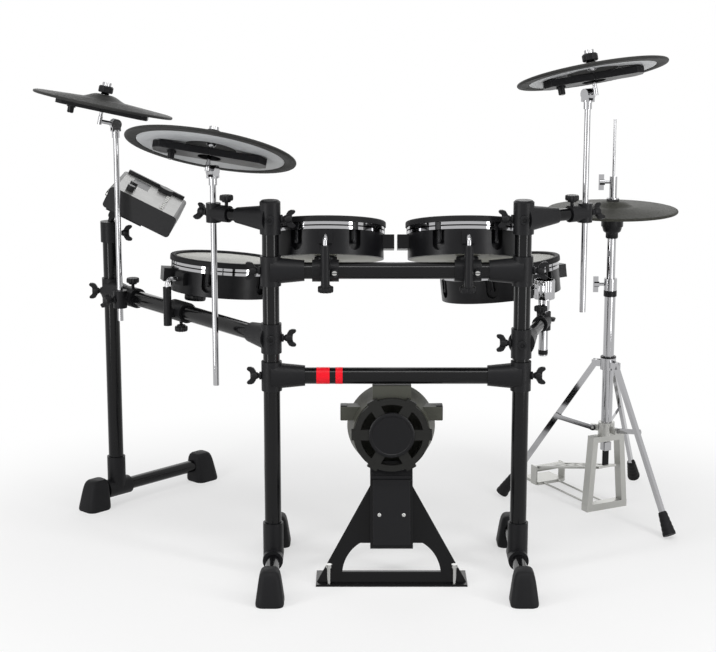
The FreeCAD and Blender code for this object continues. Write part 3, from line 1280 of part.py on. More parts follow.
def module_case():
    """Casing with a row of jacks on its far end, and the circuit board on its floor."""
    high = PANEL_LOW
    body = Part.makeBox(MODULE_D, MODULE_W, MODULE_H, V(-MODULE_D / 2, -MODULE_W / 2, -MODULE_H / 2))
    corners = [edge for edge in body.Edges if edge.BoundBox.YLength > MODULE_W / 2]
    body = body.makeFillet(MODULE_ROUND, corners)
    inner_d = MODULE_D - MODULE_SIDE_WALL * 2
    inner_w = MODULE_W - MODULE_END_WALL * 2
    floor = -MODULE_H / 2 + MODULE_WALL
    body = body.cut(block(V(0, 0, (floor + high) / 2), inner_d, inner_w, high - floor))
    panel_d = MODULE_D - MODULE_PANEL_SET * 2
    panel_w = MODULE_W - MODULE_PANEL_END_SET * 2
    body = body.cut(block(V(0, 0, high + MODULE_PANEL_T), panel_d, panel_w, MODULE_PANEL_T * 2))
    for index in range(MODULE_JACKS):
        across = MODULE_JACK_STEP * (index - (MODULE_JACKS - 1) / 2)
        seat = V(-MODULE_D / 2, across, 0)
        jack_end = seat - V(MODULE_JACK_L, 0, 0)
        body = fused(body, rod(jack_end, seat, MODULE_JACK_R))
        body = body.cut(rod(jack_end, seat + V(MODULE_WALL, 0, 0), MODULE_JACK_BORE_R))
    board_at = V(0, 0, floor + MODULE_WALL / 2)
    board = block(board_at, inner_d - MODULE_WALL, inner_w - MODULE_WALL, MODULE_WALL)
    return [moved(body, MODULE_PLACE), moved(board, MODULE_PLACE)]


def module_panel():
    """Control panel with the display's recess, shaft holes and button windows."""
    panel_d = MODULE_D - (MODULE_PANEL_SET + SEAT_GAP) * 2
    panel_w = MODULE_W - (MODULE_PANEL_END_SET + SEAT_GAP) * 2
    body = block(V(0, 0, PANEL_LOW + MODULE_PANEL_T / 2), panel_d, panel_w, MODULE_PANEL_T)
    body = body.cut(block(on_panel(DISPLAY_SHARES), DISPLAY_D, DISPLAY_W, DISPLAY_SINK * 2))
    for shares in (DIAL_SHARES,) + KNOB_SHARES:
        top = on_panel(shares)
        body = body.cut(rod(top - Z_AXIS * MODULE_H, top + Z_AXIS * DIAL_H, KNOB_SHAFT_R + RUN_GAP))
    for place in button_places():
        body = body.cut(block(place, BUTTON_D + CLEAR_GAP * 2, BUTTON_W + CLEAR_GAP * 2, MODULE_PANEL_T * 3))
    return [moved(body, MODULE_PLACE)]


def turning_knob(shares, radius, height):
    """Knob with a shaft through the panel."""
    top = on_panel(shares) + Z_AXIS * CLEAR_GAP
    shaft = rod(top - Z_AXIS * KNOB_SHAFT_L, top, KNOB_SHAFT_R)
    body = fused(rod(top, top + Z_AXIS * height, radius), shaft)
    return [moved(body, MODULE_PLACE)]


def module_buttons():
    """Row of press buttons in their windows."""
    return [moved(block(place, BUTTON_D, BUTTON_W, BUTTON_H), MODULE_PLACE) for place in button_places()]


def module_holder():
    """Plate under the module with two ears and the hinge pin."""
    plate_at = V(MODULE_HINGE.x / 2, MODULE_POST_Y, -(MODULE_H + MODULE_PLATE_T) / 2)
    body = block(plate_at, MODULE_PLATE_D, MODULE_PLATE_W, MODULE_PLATE_T)
    ear_side = MODULE_HINGE_W / 2 + CLEAR_GAP + MODULE_EAR_T / 2
    for side in (-1, 1):
        across = V(0, side * ear_side, 0)
        ear_mid = MODULE_HINGE + across + Z_AXIS * (MODULE_HINGE_DROP / 2)
        half = V(0, MODULE_EAR_T / 2, 0)
        ear = block(ear_mid, MODULE_HINGE_R * 2, MODULE_EAR_T, MODULE_HINGE_DROP)
        eye_at = MODULE_HINGE + across
        body = fused(body, ear, rod(eye_at - half, eye_at + half, MODULE_HINGE_R))
    reach = V(0, ear_side, 0)
    body = fused(body, rod(MODULE_HINGE - reach, MODULE_HINGE + reach, MODULE_PIN_R))
    return [moved(body, MODULE_PLACE)]


def module_clamp():
    """Socket on the rear post's top with the hinge's fixed barrel."""
    hinge = MODULE_PLACE.multVec(MODULE_HINGE)
    top = REAR_POST + Z_AXIS * REAR_POST_TOP
    skirt = top - Z_AXIS * CLAMP_H
    half = V(0, MODULE_HINGE_W / 2, 0)
    body = fused(rod(skirt, top + Z_AXIS * CAP_H, TEE_R), rod(top, hinge, MODULE_NECK_R),
                 rod(hinge - half, hinge + half, MODULE_HINGE_R))
    over = V(0, CUT_OVERRUN, 0)
    body = body.cut(rod(hinge - half - over, hinge + half + over, MODULE_PIN_R + RUN_GAP))
    return body.cut(rod(skirt - Z_AXIS * CUT_OVERRUN, top, PIPE_R + SEAT_GAP))


def nodes():
    """All nodes of the kit."""
    found = {
        "rack_posts": posts(),
        "rack_bars": bars() + foot_bars(),
        "rack_tees": tees(),
        "rubber_feet": rubber_feet(),
        "rack_clamps": rod_clamps() + pad_clamps() + [module_clamp()],
        "pad_arms": pad_arms(),
        "left_tom_clamp": tom_clamp(-1),
        "left_tom_arm": [tom_arm("left_tom", TOM_BAR_Z)],
        "right_tom_clamp": tom_clamp(1),
        "right_tom_arm": [tom_arm("right_tom", TOM_BAR_Z)],
        "wing_bolts": bolts(),
        "kick_base": kick_base() + kick_column(),
        "kick_housing": kick_housing() + kick_ring(),
        "kick_pad": kick_pad(),
        "kick_spikes": kick_spikes(),
        "hihat_tubes": hihat_tubes(),
        "hihat_pad": hihat_pad(),
        "hihat_pull_rod": hihat_pull_rod(),
        "hihat_frame": hihat_frame(),
        "hihat_collar": hihat_collar(),
        "hihat_footboard": hihat_footboard(),
        "hihat_heel": hihat_heel(),
        "module_case": module_case(),
        "module_panel": module_panel(),
        "module_dial": turning_knob(DIAL_SHARES, DIAL_R, DIAL_H),
        "module_volume_knob": turning_knob(KNOB_SHARES[0], KNOB_SMALL_R, KNOB_SMALL_H),
        "module_phones_knob": turning_knob(KNOB_SHARES[1], KNOB_SMALL_R, KNOB_SMALL_H),
        "module_buttons": module_buttons(),
        "module_holder": module_holder(),
    }
    for index, turn in enumerate(LEG_TURNS):
        found[f"hihat_leg_{index + 1}"] = hihat_leg(turn)
        found[f"hihat_brace_{index + 1}"] = hihat_brace(turn)
    found.update(pad_nodes())
    found.update(cymbal_nodes())
    return found


os.makedirs("parts", exist_ok=True)
for node, shapes in nodes().items():
    Part.makeCompound(shapes).exportStep(f"parts/{node}.step")
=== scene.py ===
"""Looks of the electronic drum kit: finishes, rubber, mesh heads, bands and small fittings.

Metres, in the part's own frame: +X runs to the hi-hat, +Y to the drummer's seat and +Z up.
"""
import math

import bmesh
import bpy
from mathutils import Matrix, Vector


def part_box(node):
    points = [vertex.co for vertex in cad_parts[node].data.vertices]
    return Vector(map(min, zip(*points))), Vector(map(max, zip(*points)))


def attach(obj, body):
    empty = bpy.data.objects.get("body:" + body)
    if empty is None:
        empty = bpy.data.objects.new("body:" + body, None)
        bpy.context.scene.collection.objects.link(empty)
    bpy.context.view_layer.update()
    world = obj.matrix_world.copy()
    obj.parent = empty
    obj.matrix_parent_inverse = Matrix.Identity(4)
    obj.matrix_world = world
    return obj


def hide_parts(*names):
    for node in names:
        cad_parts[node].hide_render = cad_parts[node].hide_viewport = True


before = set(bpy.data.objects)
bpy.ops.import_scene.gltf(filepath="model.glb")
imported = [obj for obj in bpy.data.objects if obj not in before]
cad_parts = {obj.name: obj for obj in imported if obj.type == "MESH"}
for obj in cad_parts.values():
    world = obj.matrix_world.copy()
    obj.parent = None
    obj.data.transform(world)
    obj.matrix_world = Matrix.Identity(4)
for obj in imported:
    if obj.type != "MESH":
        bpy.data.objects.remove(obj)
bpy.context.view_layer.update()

X_AXIS = Vector((1, 0, 0))
Y_AXIS = Vector((0, 1, 0))
Z_AXIS = Vector((0, 0, 1))
ROUND = 96
SMALL_ROUND = 32

# Rack
POST_X = 0.2835
PIPE_R = 0.019
TEE_R = 0.0235
TOM_BAR_Z = 0.720
LOWER_BAR_Z = 0.477
SIDE_BAR_Z = 0.565
TOP_TEE_Z = 0.838
SNARE_ARM_Z = 0.553
REAR_POST_TOP = 0.736
CLAMP_R = 0.017
CLAMP_H = 0.044
CLAMP_SOCKET_R = 0.019
CLAMP_SOCKET_L = 0.046
PAD_CLAMP_R = 0.025
HOLDER_OFFSET = 0.038
TOM_X = 0.160
LEFT_POST = Vector((-POST_X, 0, 0))
RIGHT_POST = Vector((POST_X, 0, 0))
REAR_POST = Vector((-0.715, 0.547, 0))
SIDE_DIRECTION = (REAR_POST - LEFT_POST).normalized()
SIDE_OUT = Vector((-SIDE_DIRECTION.y, SIDE_DIRECTION.x, 0))
RIDE_FOOT = Vector((-0.417, 0.090, 0))
CRASH_RIGHT_FOOT = Vector((0.431, 0.090, 0))
CRASH_LEFT_ALONG = 0.592
CRASH_LEFT_FOOT = LEFT_POST + SIDE_DIRECTION * CRASH_LEFT_ALONG + SIDE_OUT * HOLDER_OFFSET
SNARE_FOOT = Vector((0.357, 0.240, 0))
ARMS = (
    (LEFT_POST, RIDE_FOOT, TOP_TEE_Z),
    (RIGHT_POST, CRASH_RIGHT_FOOT, TOP_TEE_Z),
    (RIGHT_POST, SNARE_FOOT, SNARE_ARM_Z),
)
BAND_PROUD = 0.0003
RED_BANDS = ((-0.1815, -0.1515), (-0.138, -0.122))

# Feet
SHOE_GRIP = 0.042
SHOE_OUT = 0.032
SHOE_HALF_W = 0.033
SHOE_TOP_OUT = 0.014
SHOE_TOP_HALF_W = 0.022
SHOE_H = 0.078
# Rings of a shoe: share of its height, fullness
SHOE_RINGS = (
    (0.0, 0.93), (0.05, 0.985), (0.12, 1.0), (0.30, 1.0), (0.52, 1.0),
    (0.72, 0.99), (0.86, 0.95), (0.95, 0.86), (1.0, 0.70),
)
REAR_BEARING = Vector((math.cos(math.radians(46)), math.sin(math.radians(46)), 0))
FOOT_ENDS = (
    (LEFT_POST, Y_AXIS, 0.195, 0.225),
    (RIGHT_POST, Y_AXIS, 0.195, 0.225),
    (REAR_POST, REAR_BEARING, 0.080, 0.300),
)

# Wing bolts and knobs
BOLT_R = 0.004
BOLT_STEM = 0.012
WING_HUB_R = 0.0092
WING_HUB_H = 0.013
WING_HALF = 0.020
WING_T = 0.0085
KNOB_R = 0.016
KNOB_H = 0.012
KNOB_COVER = 0.0022
CLAMP_SCREW_X = 0.0205
CLAMP_SCREW_R = 0.0095
CLAMP_SCREW_H = 0.013
CLAMP_SCREW_SUNK = 0.003
SCREW_SLOT_HALF = 0.0008
BOSS_R = 0.0105
BOSS_H = 0.006
BOSS_SUNK = 0.004

# Snare holder
SNARE_HOLDER_LOW = 0.607
SNARE_HOLDER_HIGH = 0.653
SNARE_RIB_R = 0.0256
SNARE_COLLAR_R = 0.0135
SNARE_COLLAR_H = 0.026
SNARE_TUBE_R = 0.011
SNARE_TUBE_LOW = 0.468
SNARE_TIP_H = 0.014

# Drum pads
RIM_W = 0.013
HEAD_SINK = 0.005
HEAD_CROWN = 0.0008
HEAD_GAP = 0.0003
HEAD_STEPS = 12
PAD_ARM_DROP = 0.050
HOOP_LOW = -0.030
SHELL_LOW = -0.087
SHELL_IN = 0.005
HOOP_TOP = -0.013
HOOP_IN = 0.014
HOOP_OUT = 0.0035
LUG_COUNT = 6
LUG_FOOT = -0.061
EAR_HALF_W = 0.0075
TENSION_R = 0.003
COVER_SKIN = 0.0006
TOM_BEND_Y = -HOLDER_OFFSET
TOM_BEND_Z = 0.806
# Pads: radius, bend of the arm, tilts in degrees, bearing and reach of the arm
PADS = {
    "left_tom": (0.1375, Vector((-TOM_X, TOM_BEND_Y, TOM_BEND_Z)), 15.5, 0, -90, 0.172),
    "right_tom": (0.1375, Vector((TOM_X, TOM_BEND_Y, TOM_BEND_Z)), 15.5, 0, -90, 0.172),
    "floor_tom": (0.1375, Vector((-0.545, 0.270, 0.648)), 4.0, -4.5, -134.8, 0.186),
    "snare": (0.155, Vector((0.357, 0.240, 0.630)), 4.0, 6.0, -71.1, 0.275),
}
TOM_KNOB_R = 0.026
TOM_KNOB_H = 0.017
TOM_KNOB_IN = 0.040

# Cymbals: rod foot, rod top, pad radius, tilts in degrees, stud offset
CYMBALS = {
    "ride": (RIDE_FOOT, 0.917, 0.197, 19.5, -9.5, 0.026),
    "right_crash": (CRASH_RIGHT_FOOT, 1.090, 0.1715, 13.0, 9.5, 0.026),
    "left_crash": (CRASH_LEFT_FOOT, 0.984, 0.1715, 5.0, -12.0, 0.040),
}
KNUCKLE_RISE = 0.017
STUD_LENGTH = 0.060
BALL_R = 0.013
BALL_GAP = 0.0004
BELL_R = 0.058
BELL_TOP = 0.0055
BELL_STEPS = 15
EDGE_STEPS = 8
HOLE_STEPS = 12
CYMBAL_ROUND = 144
SKIN_SHARP = 60
BOW_TOP = -0.0075
PAD_DROP = 0.015
PAD_EDGE = 0.007
PAD_SKIN = 0.004
RIM_BAND = 0.027
PLATE_T = 0.0025
RING_STEP = 0.0042
RING_DEPTH = 0.0004
SENSOR_HALF_W = 0.032
SENSOR_LOW = -0.0365
SENSOR_SHARE = 0.66
SENSOR_HOLE_R = 0.027
SENSOR_CHAMFER = 0.016
JACK_R = 0.008
JACK_BORE_R = 0.0033
JACK_L = 0.018
NUT_R = 0.0180
NUT_LOW = 0.0100
NUT_HIGH = 0.0268
NUT_BORE_R = 0.006

# Kick tower
KICK_X = -0.010
KICK_Z = 0.343
KICK_FACE_Y = -0.026
KICK_RING_BACK_Y = -0.0141
KICK_DISC_R = 0.0515
KICK_EAR_HALF = 0.116
KICK_EAR_RISE = 0.042
KICK_BACK_Y = 0.064
KICK_PAD_R = 0.092
KICK_PAD_T = 0.014
KICK_LEG_Y = -0.060
KICK_SLOPE = math.atan2(0.084, 0.208)
KICK_COLUMN_FACE = -0.031
KICK_COLUMN_HALF = 0.049
KICK_EAR_CAP = (0.0178, 0.0168, 0.006)
KICK_EAR_CAP_T = 0.016
KICK_EAR_CAP_IN = 0.0145
KICK_EAR_Y = 0.025
KICK_PANEL_SUNK = 0.002
# Column panels: inset from the column's edge, half height, middle, corner, thickness
KICK_PANELS = (
    (0.003, 0.018, 0.262, 0.002, 0.0025),
    (0.0, 0.004, 0.241, 0.002, 0.007),
    (0.006, 0.076, 0.160, 0.004, 0.003),
)
# Column screws, a pair each: half distance, place up the column, seat
KICK_SCREWS = ((0.026, 0.262, 0.0025), (0.028, 0.154, 0.003))

# Hi-hat
HIHAT = Vector((0.550, 0.505, 0))
HIHAT_PAD_R = 0.163
HIHAT_PAD_Z = 0.797
HIHAT_CLUTCH_R = 0.0097
HIHAT_CLUTCH_NUT_R = 0.015
HIHAT_UPPER_R = 0.011
HIHAT_LOWER_R = 0.014
HIHAT_SPLIT_Z = 0.575
HIHAT_CUP_R = 0.027
HIHAT_CUP_NECK_R = 0.017
HIHAT_CUP_TOP = 0.7769
HIHAT_CUP_SEAT = 0.7489
HIHAT_CUP_LOW = 0.7369
CUP_BOWL_H = 0.014
CUP_KNURL_H = 0.015
SPLIT_RING_H = 0.016
SPLIT_RING_T = 0.0026
FELT_H = 0.005
STRAP_HALF_T = 0.0025
STRAP_HALF_W = 0.008
STRAP_H = 0.040
COLLAR_Z = 0.385
COLLAR_R = 0.020
COLLAR_H = 0.030
BUSH_H = 0.004
LEG_PIVOT_R = 0.033
LEG_SPREAD = math.radians(33)
LEG_TURNS = (-62.0, 66.0, 158.0)
LEG_TIP_R = 0.016
LEG_TIP_TOP_R = 0.010
LEG_TIP_L = 0.058
BOOT_GROOVE = 0.0002
BOOT_RIB = 0.0005
BOOT_RIBS = 5
PEDAL_TURN = math.radians(118)
BOARD_L = 0.262
BOARD_HALF_W = 0.042
BOARD_TOE_HALF_W = 0.029
BOARD_EASE = 0.0018
BOARD_T = 0.007
BOARD_RAIL = 0.013
BOARD_RUNGS = ((0, 0.050), (0.086, 0.098), (0.126, 0.138), (0.166, 0.178), (0.206, 0.218))
BOARD_TOE_PLATE = 0.240
BOARD_SPINE_HALF = 0.005
BOARD_TOE_OVER = 0.012
BOARD_TOE_Z = 0.108
BOARD_HEEL_Z = 0.042
HINGE_R = 0.0045

# Sound module
MODULE_PLACE = Matrix.Translation((-0.630, 0.612, 0.779)) @ Matrix.Rotation(math.radians(27), 4, "Y")
MODULE_D = 0.182
MODULE_W = 0.285
MODULE_H = 0.056
MODULE_RAIL_SET = 0.0105
MODULE_RAIL_H = 0.010
DISPLAY_SHARES = (-0.18, 0.20)
DISPLAY_D = 0.046
DISPLAY_W = 0.092
DISPLAY_SINK = 0.0012
MODULE_JACKS = 10
MODULE_JACK_STEP = 0.024
MODULE_JACK_R = 0.0065
MODULE_JACK_L = 0.005
MODULE_JACK_BORE = 0.0034

# Picture
CAMERA_AT = (-0.087, -4.2, 1.512)
CAMERA_PITCH = math.radians(77.65)
CAMERA_LENS = 95.5
WORLD_LIGHT = 0.30
FLOOR_HALF = 8.0
FADE_NEAR = 0.7
FADE_FAR = 1.6
FADE_LEAST = 0.5
# Lamps: name, place, point looked at, size, watts
LAMPS = (
    ("left_strip", (-1.9, -1.3, 1.25), (-0.1, 0.2, 1.25), (0.4, 2.5), 26),
    ("right_strip", (1.7, -1.3, 1.25), (-0.1, 0.2, 1.25), (0.4, 2.5), 26),
    ("top_strip", (0, -1.0, 3.0), (0, 0.2, 0.5), (3.2, 0.4), 34),
    ("back_softbox", (0, 3.2, 2.0), (0, 0.2, 0.6), (3.0, 1.6), 20),
)

# Materials
BROAD_SCALE = 35.0
GRAIN_DEPTH = 0.0004
WEAVE_SCALE = 260.0
WEAVE_DEPTH = 0.0003


def material(name, colour, rough, metal=0.0, grain=0.0, grain_scale=900.0, mottle=0.12, shine=0.5):
    """Finish with mottled colour, uneven gloss and a fine grain; rough is a pair of limits."""
    made = bpy.data.materials.new(name)
    made.use_nodes = True
    tree = made.node_tree
    shader = tree.nodes["Principled BSDF"]
    shader.inputs["Metallic"].default_value = metal
    shader.inputs["Specular IOR Level"].default_value = shine
    where = tree.nodes.new("ShaderNodeTexCoord")
    broad = noise(tree, where, BROAD_SCALE, 4.0)
    ramp = tree.nodes.new("ShaderNodeMapRange")
    ramp.inputs["To Min"].default_value = rough[0]
    ramp.inputs["To Max"].default_value = rough[1]
    tree.links.new(broad.outputs["Fac"], ramp.inputs["Value"])
    tree.links.new(ramp.outputs["Result"], shader.inputs["Roughness"])
    fine = noise(tree, where, grain_scale, 2.0).outputs["Fac"]
    dark = [value * (1 - mottle) for value in colour]
    pale = [min(1.0, value * (1 + mottle)) for value in colour]
    blend(tree, fine, dark, pale)
    if grain:
        emboss(tree, fine, grain, GRAIN_DEPTH)
    return made


def blend(tree, share, first, second):
    """Base colour that goes from the first to the second with a share."""
    shades = tree.nodes.new("ShaderNodeMix")
    shades.data_type = "RGBA"
    shades.inputs["A"].default_value = (*first, 1)
    shades.inputs["B"].default_value = (*second, 1)
    tree.links.new(share, shades.inputs["Factor"])
    tree.links.new(shades.outputs["Result"], tree.nodes["Principled BSDF"].inputs["Base Color"])
    return shades


def emboss(tree, height, strength, depth):
    """Fine relief from a height."""
    bump = tree.nodes.new("ShaderNodeBump")
    bump.inputs["Strength"].default_value = strength
    bump.inputs["Distance"].default_value = depth
    tree.links.new(height, bump.inputs["Height"])
    tree.links.new(bump.outputs["Normal"], tree.nodes["Principled BSDF"].inputs["Normal"])


def noise(tree, where, scale, detail):
    """Noise over the object's own space."""
    node = tree.nodes.new("ShaderNodeTexNoise")
    node.inputs["Scale"].default_value = scale
    node.inputs["Detail"].default_value = detail
    tree.links.new(where.outputs["Object"], node.inputs["Vector"])
    return node


def weave_material():
    """Pale woven mesh, from crossed waves over the head's own flat map."""
    made = material("woven_mesh", (0.62, 0.62, 0.58), (0.55, 0.7))
    tree = made.node_tree
    where = tree.nodes.new("ShaderNodeTexCoord")
    heights = []
    for direction in ("X", "Y"):
        wave = tree.nodes.new("ShaderNodeTexWave")
        wave.bands_direction = direction
        wave.inputs["Scale"].default_value = WEAVE_SCALE
        tree.links.new(where.outputs["UV"], wave.inputs["Vector"])
        heights.append(wave.outputs["Fac"])
    cross = tree.nodes.new("ShaderNodeMath")
    cross.operation = "MULTIPLY"
    tree.links.new(heights[0], cross.inputs[0])
    tree.links.new(heights[1], cross.inputs[1])
    blend(tree, cross.outputs["Value"], (0.66, 0.66, 0.62), (0.30, 0.30, 0.28))
    emboss(tree, cross.outputs["Value"], 0.5, WEAVE_DEPTH)
    return made


def kick_material():
    """Olive-grey moulding whose front ring and spokes are near black."""
    made = material("olive_housing_dark_ring", (0.062, 0.063, 0.052), (0.4, 0.52), grain=0.3, shine=0.16)
    tree = made.node_tree
    shader = tree.nodes["Principled BSDF"]
    olive = shader.inputs["Base Color"].links[0].from_socket
    where = tree.nodes.new("ShaderNodeTexCoord")
    parts = tree.nodes.new("ShaderNodeSeparateXYZ")
    tree.links.new(where.outputs["Object"], parts.inputs["Vector"])
    behind = tree.nodes.new("ShaderNodeMath")
    behind.operation = "GREATER_THAN"
    behind.inputs[1].default_value = KICK_RING_BACK_Y
    tree.links.new(parts.outputs["Y"], behind.inputs[0])
    near_black = (0.014, 0.014, 0.013)
    shades = blend(tree, behind.outputs["Value"], near_black, near_black)
    tree.links.new(olive, shades.inputs["B"])
    return made


PIPE = material("gloss_black_tube", (0.004, 0.004, 0.0045), (0.10, 0.18), shine=0.22)
CAST = material("satin_black_casting", (0.009, 0.009, 0.010), (0.36, 0.48), grain=0.25, shine=0.16)
BLACK_STEEL = material("black_coated_steel", (0.004, 0.004, 0.0045), (0.18, 0.28), grain=0.08, shine=0.16)
RUBBER = material("black_rubber", (0.008, 0.008, 0.009), (0.5, 0.66), grain=0.3, grain_scale=1400.0,
                  shine=0.16)
SKIN = material("charcoal_cymbal_rubber", (0.022, 0.022, 0.021), (0.5, 0.62), grain=0.35, grain_scale=1300.0,
                shine=0.2)
SPECKLED = material("speckled_hihat_rubber", (0.028, 0.028, 0.022), (0.5, 0.62), grain=0.4, grain_scale=190.0,
                    mottle=0.9, shine=0.2)
SHELL = material("moulded_black_plastic", (0.006, 0.006, 0.007), (0.26, 0.38), grain=0.2, shine=0.18)
KICK_FINISH = kick_material()
BASE = material("pale_olive_plastic", (0.24, 0.24, 0.20), (0.4, 0.52), grain=0.2, shine=0.3)
PLATE = material("light_grey_plastic", (0.42, 0.43, 0.44), (0.36, 0.48), grain=0.15)
CHROME = material("chrome_plate", (0.42, 0.42, 0.43), (0.05, 0.07), metal=1.0, mottle=0.04)
STEEL = material("zinc_plated_steel", (0.46, 0.46, 0.45), (0.2, 0.32), metal=1.0, mottle=0.08)
SILVER = material("silver_cast_metal", (0.44, 0.44, 0.42), (0.3, 0.42), metal=0.9, grain=0.3, mottle=0.08)
CASE = material("module_charcoal_plastic", (0.016, 0.016, 0.017), (0.36, 0.48), grain=0.3, shine=0.25)
PANEL = material("module_silver_panel", (0.22, 0.22, 0.215), (0.34, 0.44), metal=0.4, grain=0.15)
GLASS = material("display_glass", (0.006, 0.008, 0.012), (0.3, 0.36), shine=0.1)
KEYCAP = material("pale_keycap", (0.55, 0.55, 0.53), (0.45, 0.55), grain=0.1)
BAND = material("red_band_paint", (0.80, 0.010, 0.022), (0.3, 0.4), shine=0.15)
FOAM = material("black_pad_rubber", (0.016, 0.016, 0.017), (0.6, 0.75), grain=0.5, grain_scale=700.0)
MESH = weave_material()

CAD_FINISHES = {
    "rack_posts": PIPE, "rack_bars": PIPE, "rack_tees": CAST, "rack_clamps": CAST, "pad_arms": CHROME,
    "kick_base": BLACK_STEEL, "kick_housing": KICK_FINISH, "kick_spikes": STEEL, "hihat_tubes": CHROME,
    "hihat_pull_rod": CHROME, "hihat_frame": SILVER, "hihat_collar": CHROME, "hihat_heel": SILVER,
    "module_case": CASE, "module_panel": PANEL, "module_dial": CASE, "module_volume_knob": CASE,
    "module_phones_knob": CASE, "module_buttons": KEYCAP, "module_holder": CAST,
}
for side in ("left_tom", "right_tom"):
    CAD_FINISHES[f"{side}_clamp"] = CAST
    CAD_FINISHES[f"{side}_arm"] = CHROME
for number in (1, 2, 3):
    CAD_FINISHES[f"hihat_leg_{number}"] = CHROME
    CAD_FINISHES[f"hihat_brace_{number}"] = CHROME
for pad in PADS:
    CAD_FINISHES[f"{pad}_shell"] = SHELL
    CAD_FINISHES[f"{pad}_hoops"] = CHROME
    CAD_FINISHES[f"{pad}_rim"] = RUBBER
for cymbal in CYMBALS:
    CAD_FINISHES[f"{cymbal}_rod"] = CHROME
    CAD_FINISHES[f"{cymbal}_tilter"] = CHROME
SOFT_EDGES = {"rack_tees": 0.003, "rack_clamps": 0.0025, "kick_base": 0.0012, "kick_housing": 0.003,
              "hihat_frame": 0.006, "hihat_collar": 0.0015, "hihat_heel": 0.002, "module_case": 0.002,
              "module_holder": 0.001, "left_tom_clamp": 0.002, "right_tom_clamp": 0.002}


def dress_nodes():
    """A finish on every shown CAD node, and softened edges on the castings."""
    for node, finish in CAD_FINISHES.items():
        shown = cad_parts[node]
        shown.data.materials.clear()
        shown.data.materials.append(finish)
        if node in SOFT_EDGES:
            soften(shown, SOFT_EDGES[node])


def soften(made, width, segments=3, angle=40.0):
    """Rounded edges."""
    edge = made.modifiers.new("soft_edges", "BEVEL")
    edge.width = width
    edge.segments = segments
    edge.limit_method = "ANGLE"
    edge.angle_limit = math.radians(angle)
    edge.harden_normals = True


# Mesh makers: each returns (points, faces)

def revolve(profile, count=ROUND, closed=False, flutes=0, flute_depth=0.0):
    """Round form about Z from (radius, height) points; flutes press in the radius round it."""
    points = []
    rows = []
    for radius, height in profile:
        if radius == 0:
            rows.append([len(points)] * count)
            points.append(Vector((0, 0, height)))
            continue
        rows.append(list(range(len(points), len(points) + count)))
        for index in range(count):
            angle = math.tau * index / count
            reach = radius - flute_depth * (0.5 + 0.5 * math.cos(flutes * angle)) if flutes else radius
            points.append(Vector((reach * math.cos(angle), reach * math.sin(angle), height)))
    faces = []
    pairs = list(zip(rows, rows[1:])) + ([(rows[-1], rows[0])] if closed else [])
    for low, high in pairs:
        for index in range(count):
            after = (index + 1) % count
            loop = [low[index], low[after], high[after], high[index]]
            face = [corner for place, corner in enumerate(loop) if corner != loop[place - 1]]
            faces.append(face)
    return points, faces


def prism(outline, low, high):
    """Upright wall between two heights with flat ends, from (x, y) points."""
    count = len(outline)
    points = [Vector((x, y, height)) for height in (low, high) for x, y in outline]
    faces = [list(range(count))[::-1], list(range(count, count * 2))]
    for index in range(count):
        after = (index + 1) % count
        faces.append([index, after, count + after, count + index])
    return points, faces


def rectangle(half_x, half_y, corner=0.0, steps=4):
    """Outline of a rectangle with rounded corners."""
    if not corner:
        return [(-half_x, -half_y), (half_x, -half_y), (half_x, half_y), (-half_x, half_y)]
    outline = []
    for turn, (sx, sy) in enumerate(((1, 1), (-1, 1), (-1, -1), (1, -1))):
        for step in range(steps + 1):
            angle = math.pi / 2 * (turn + step / steps)
            x = sx * (half_x - corner) + corner * math.cos(angle)
            outline.append((x, sy * (half_y - corner) + corner * math.sin(angle)))
    return outline


def loft(outlines):
    """Closed form through a stack of rings of points."""
    count = len(outlines[0])
    points = [point for ring in outlines for point in ring]
    faces = [list(range(count))[::-1], list(range(len(points) - count, len(points)))]
    for row in range(len(outlines) - 1):
        start = row * count
        for index in range(count):
            after = (index + 1) % count
            faces.append([start + index, start + after, start + count + after, start + count + index])
    return points, faces


def placed(form, matrix):
    """Form moved by a matrix."""
    points, faces = form
    return [matrix @ point for point in points], faces


def joined(*forms):
    """Several forms as one."""
    points = []
    faces = []
    for form_points, form_faces in forms:
        start = len(points)
        points += form_points
        faces += [[corner + start for corner in face] for face in form_faces]
    return points, faces


def facing(seat, direction):
    """Matrix that takes the origin to seat and +Z to direction."""
    return Matrix.Translation(seat) @ Z_AXIS.rotation_difference(direction).to_matrix().to_4x4()


def piece(name, form, finish, body, soft=0.0, sharp=40.0):
    """Object from a form, with its finish and body; soft rounds its edges."""
    points, faces = form
    mesh = bpy.data.meshes.new(name)
    mesh.from_pydata(points, [], faces)
    work = bmesh.new()
    work.from_mesh(mesh)
    bmesh.ops.recalc_face_normals(work, faces=work.faces)
    work.to_mesh(mesh)
    work.free()
    made = bpy.data.objects.new(name, mesh)
    bpy.context.scene.collection.objects.link(made)
    mesh.materials.append(finish)
    mesh.shade_smooth()
    mesh.set_sharp_from_angle(angle=math.radians(sharp))
    if soft:
        soften(made, soft)
    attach(made, body)
    return made


def turned(name, profile, place, finish, body, count=ROUND, closed=False):
    """Piece of one round form about the place's +Z."""
    return piece(name, placed(revolve(profile, count, closed), place), finish, body)


# Rack fittings

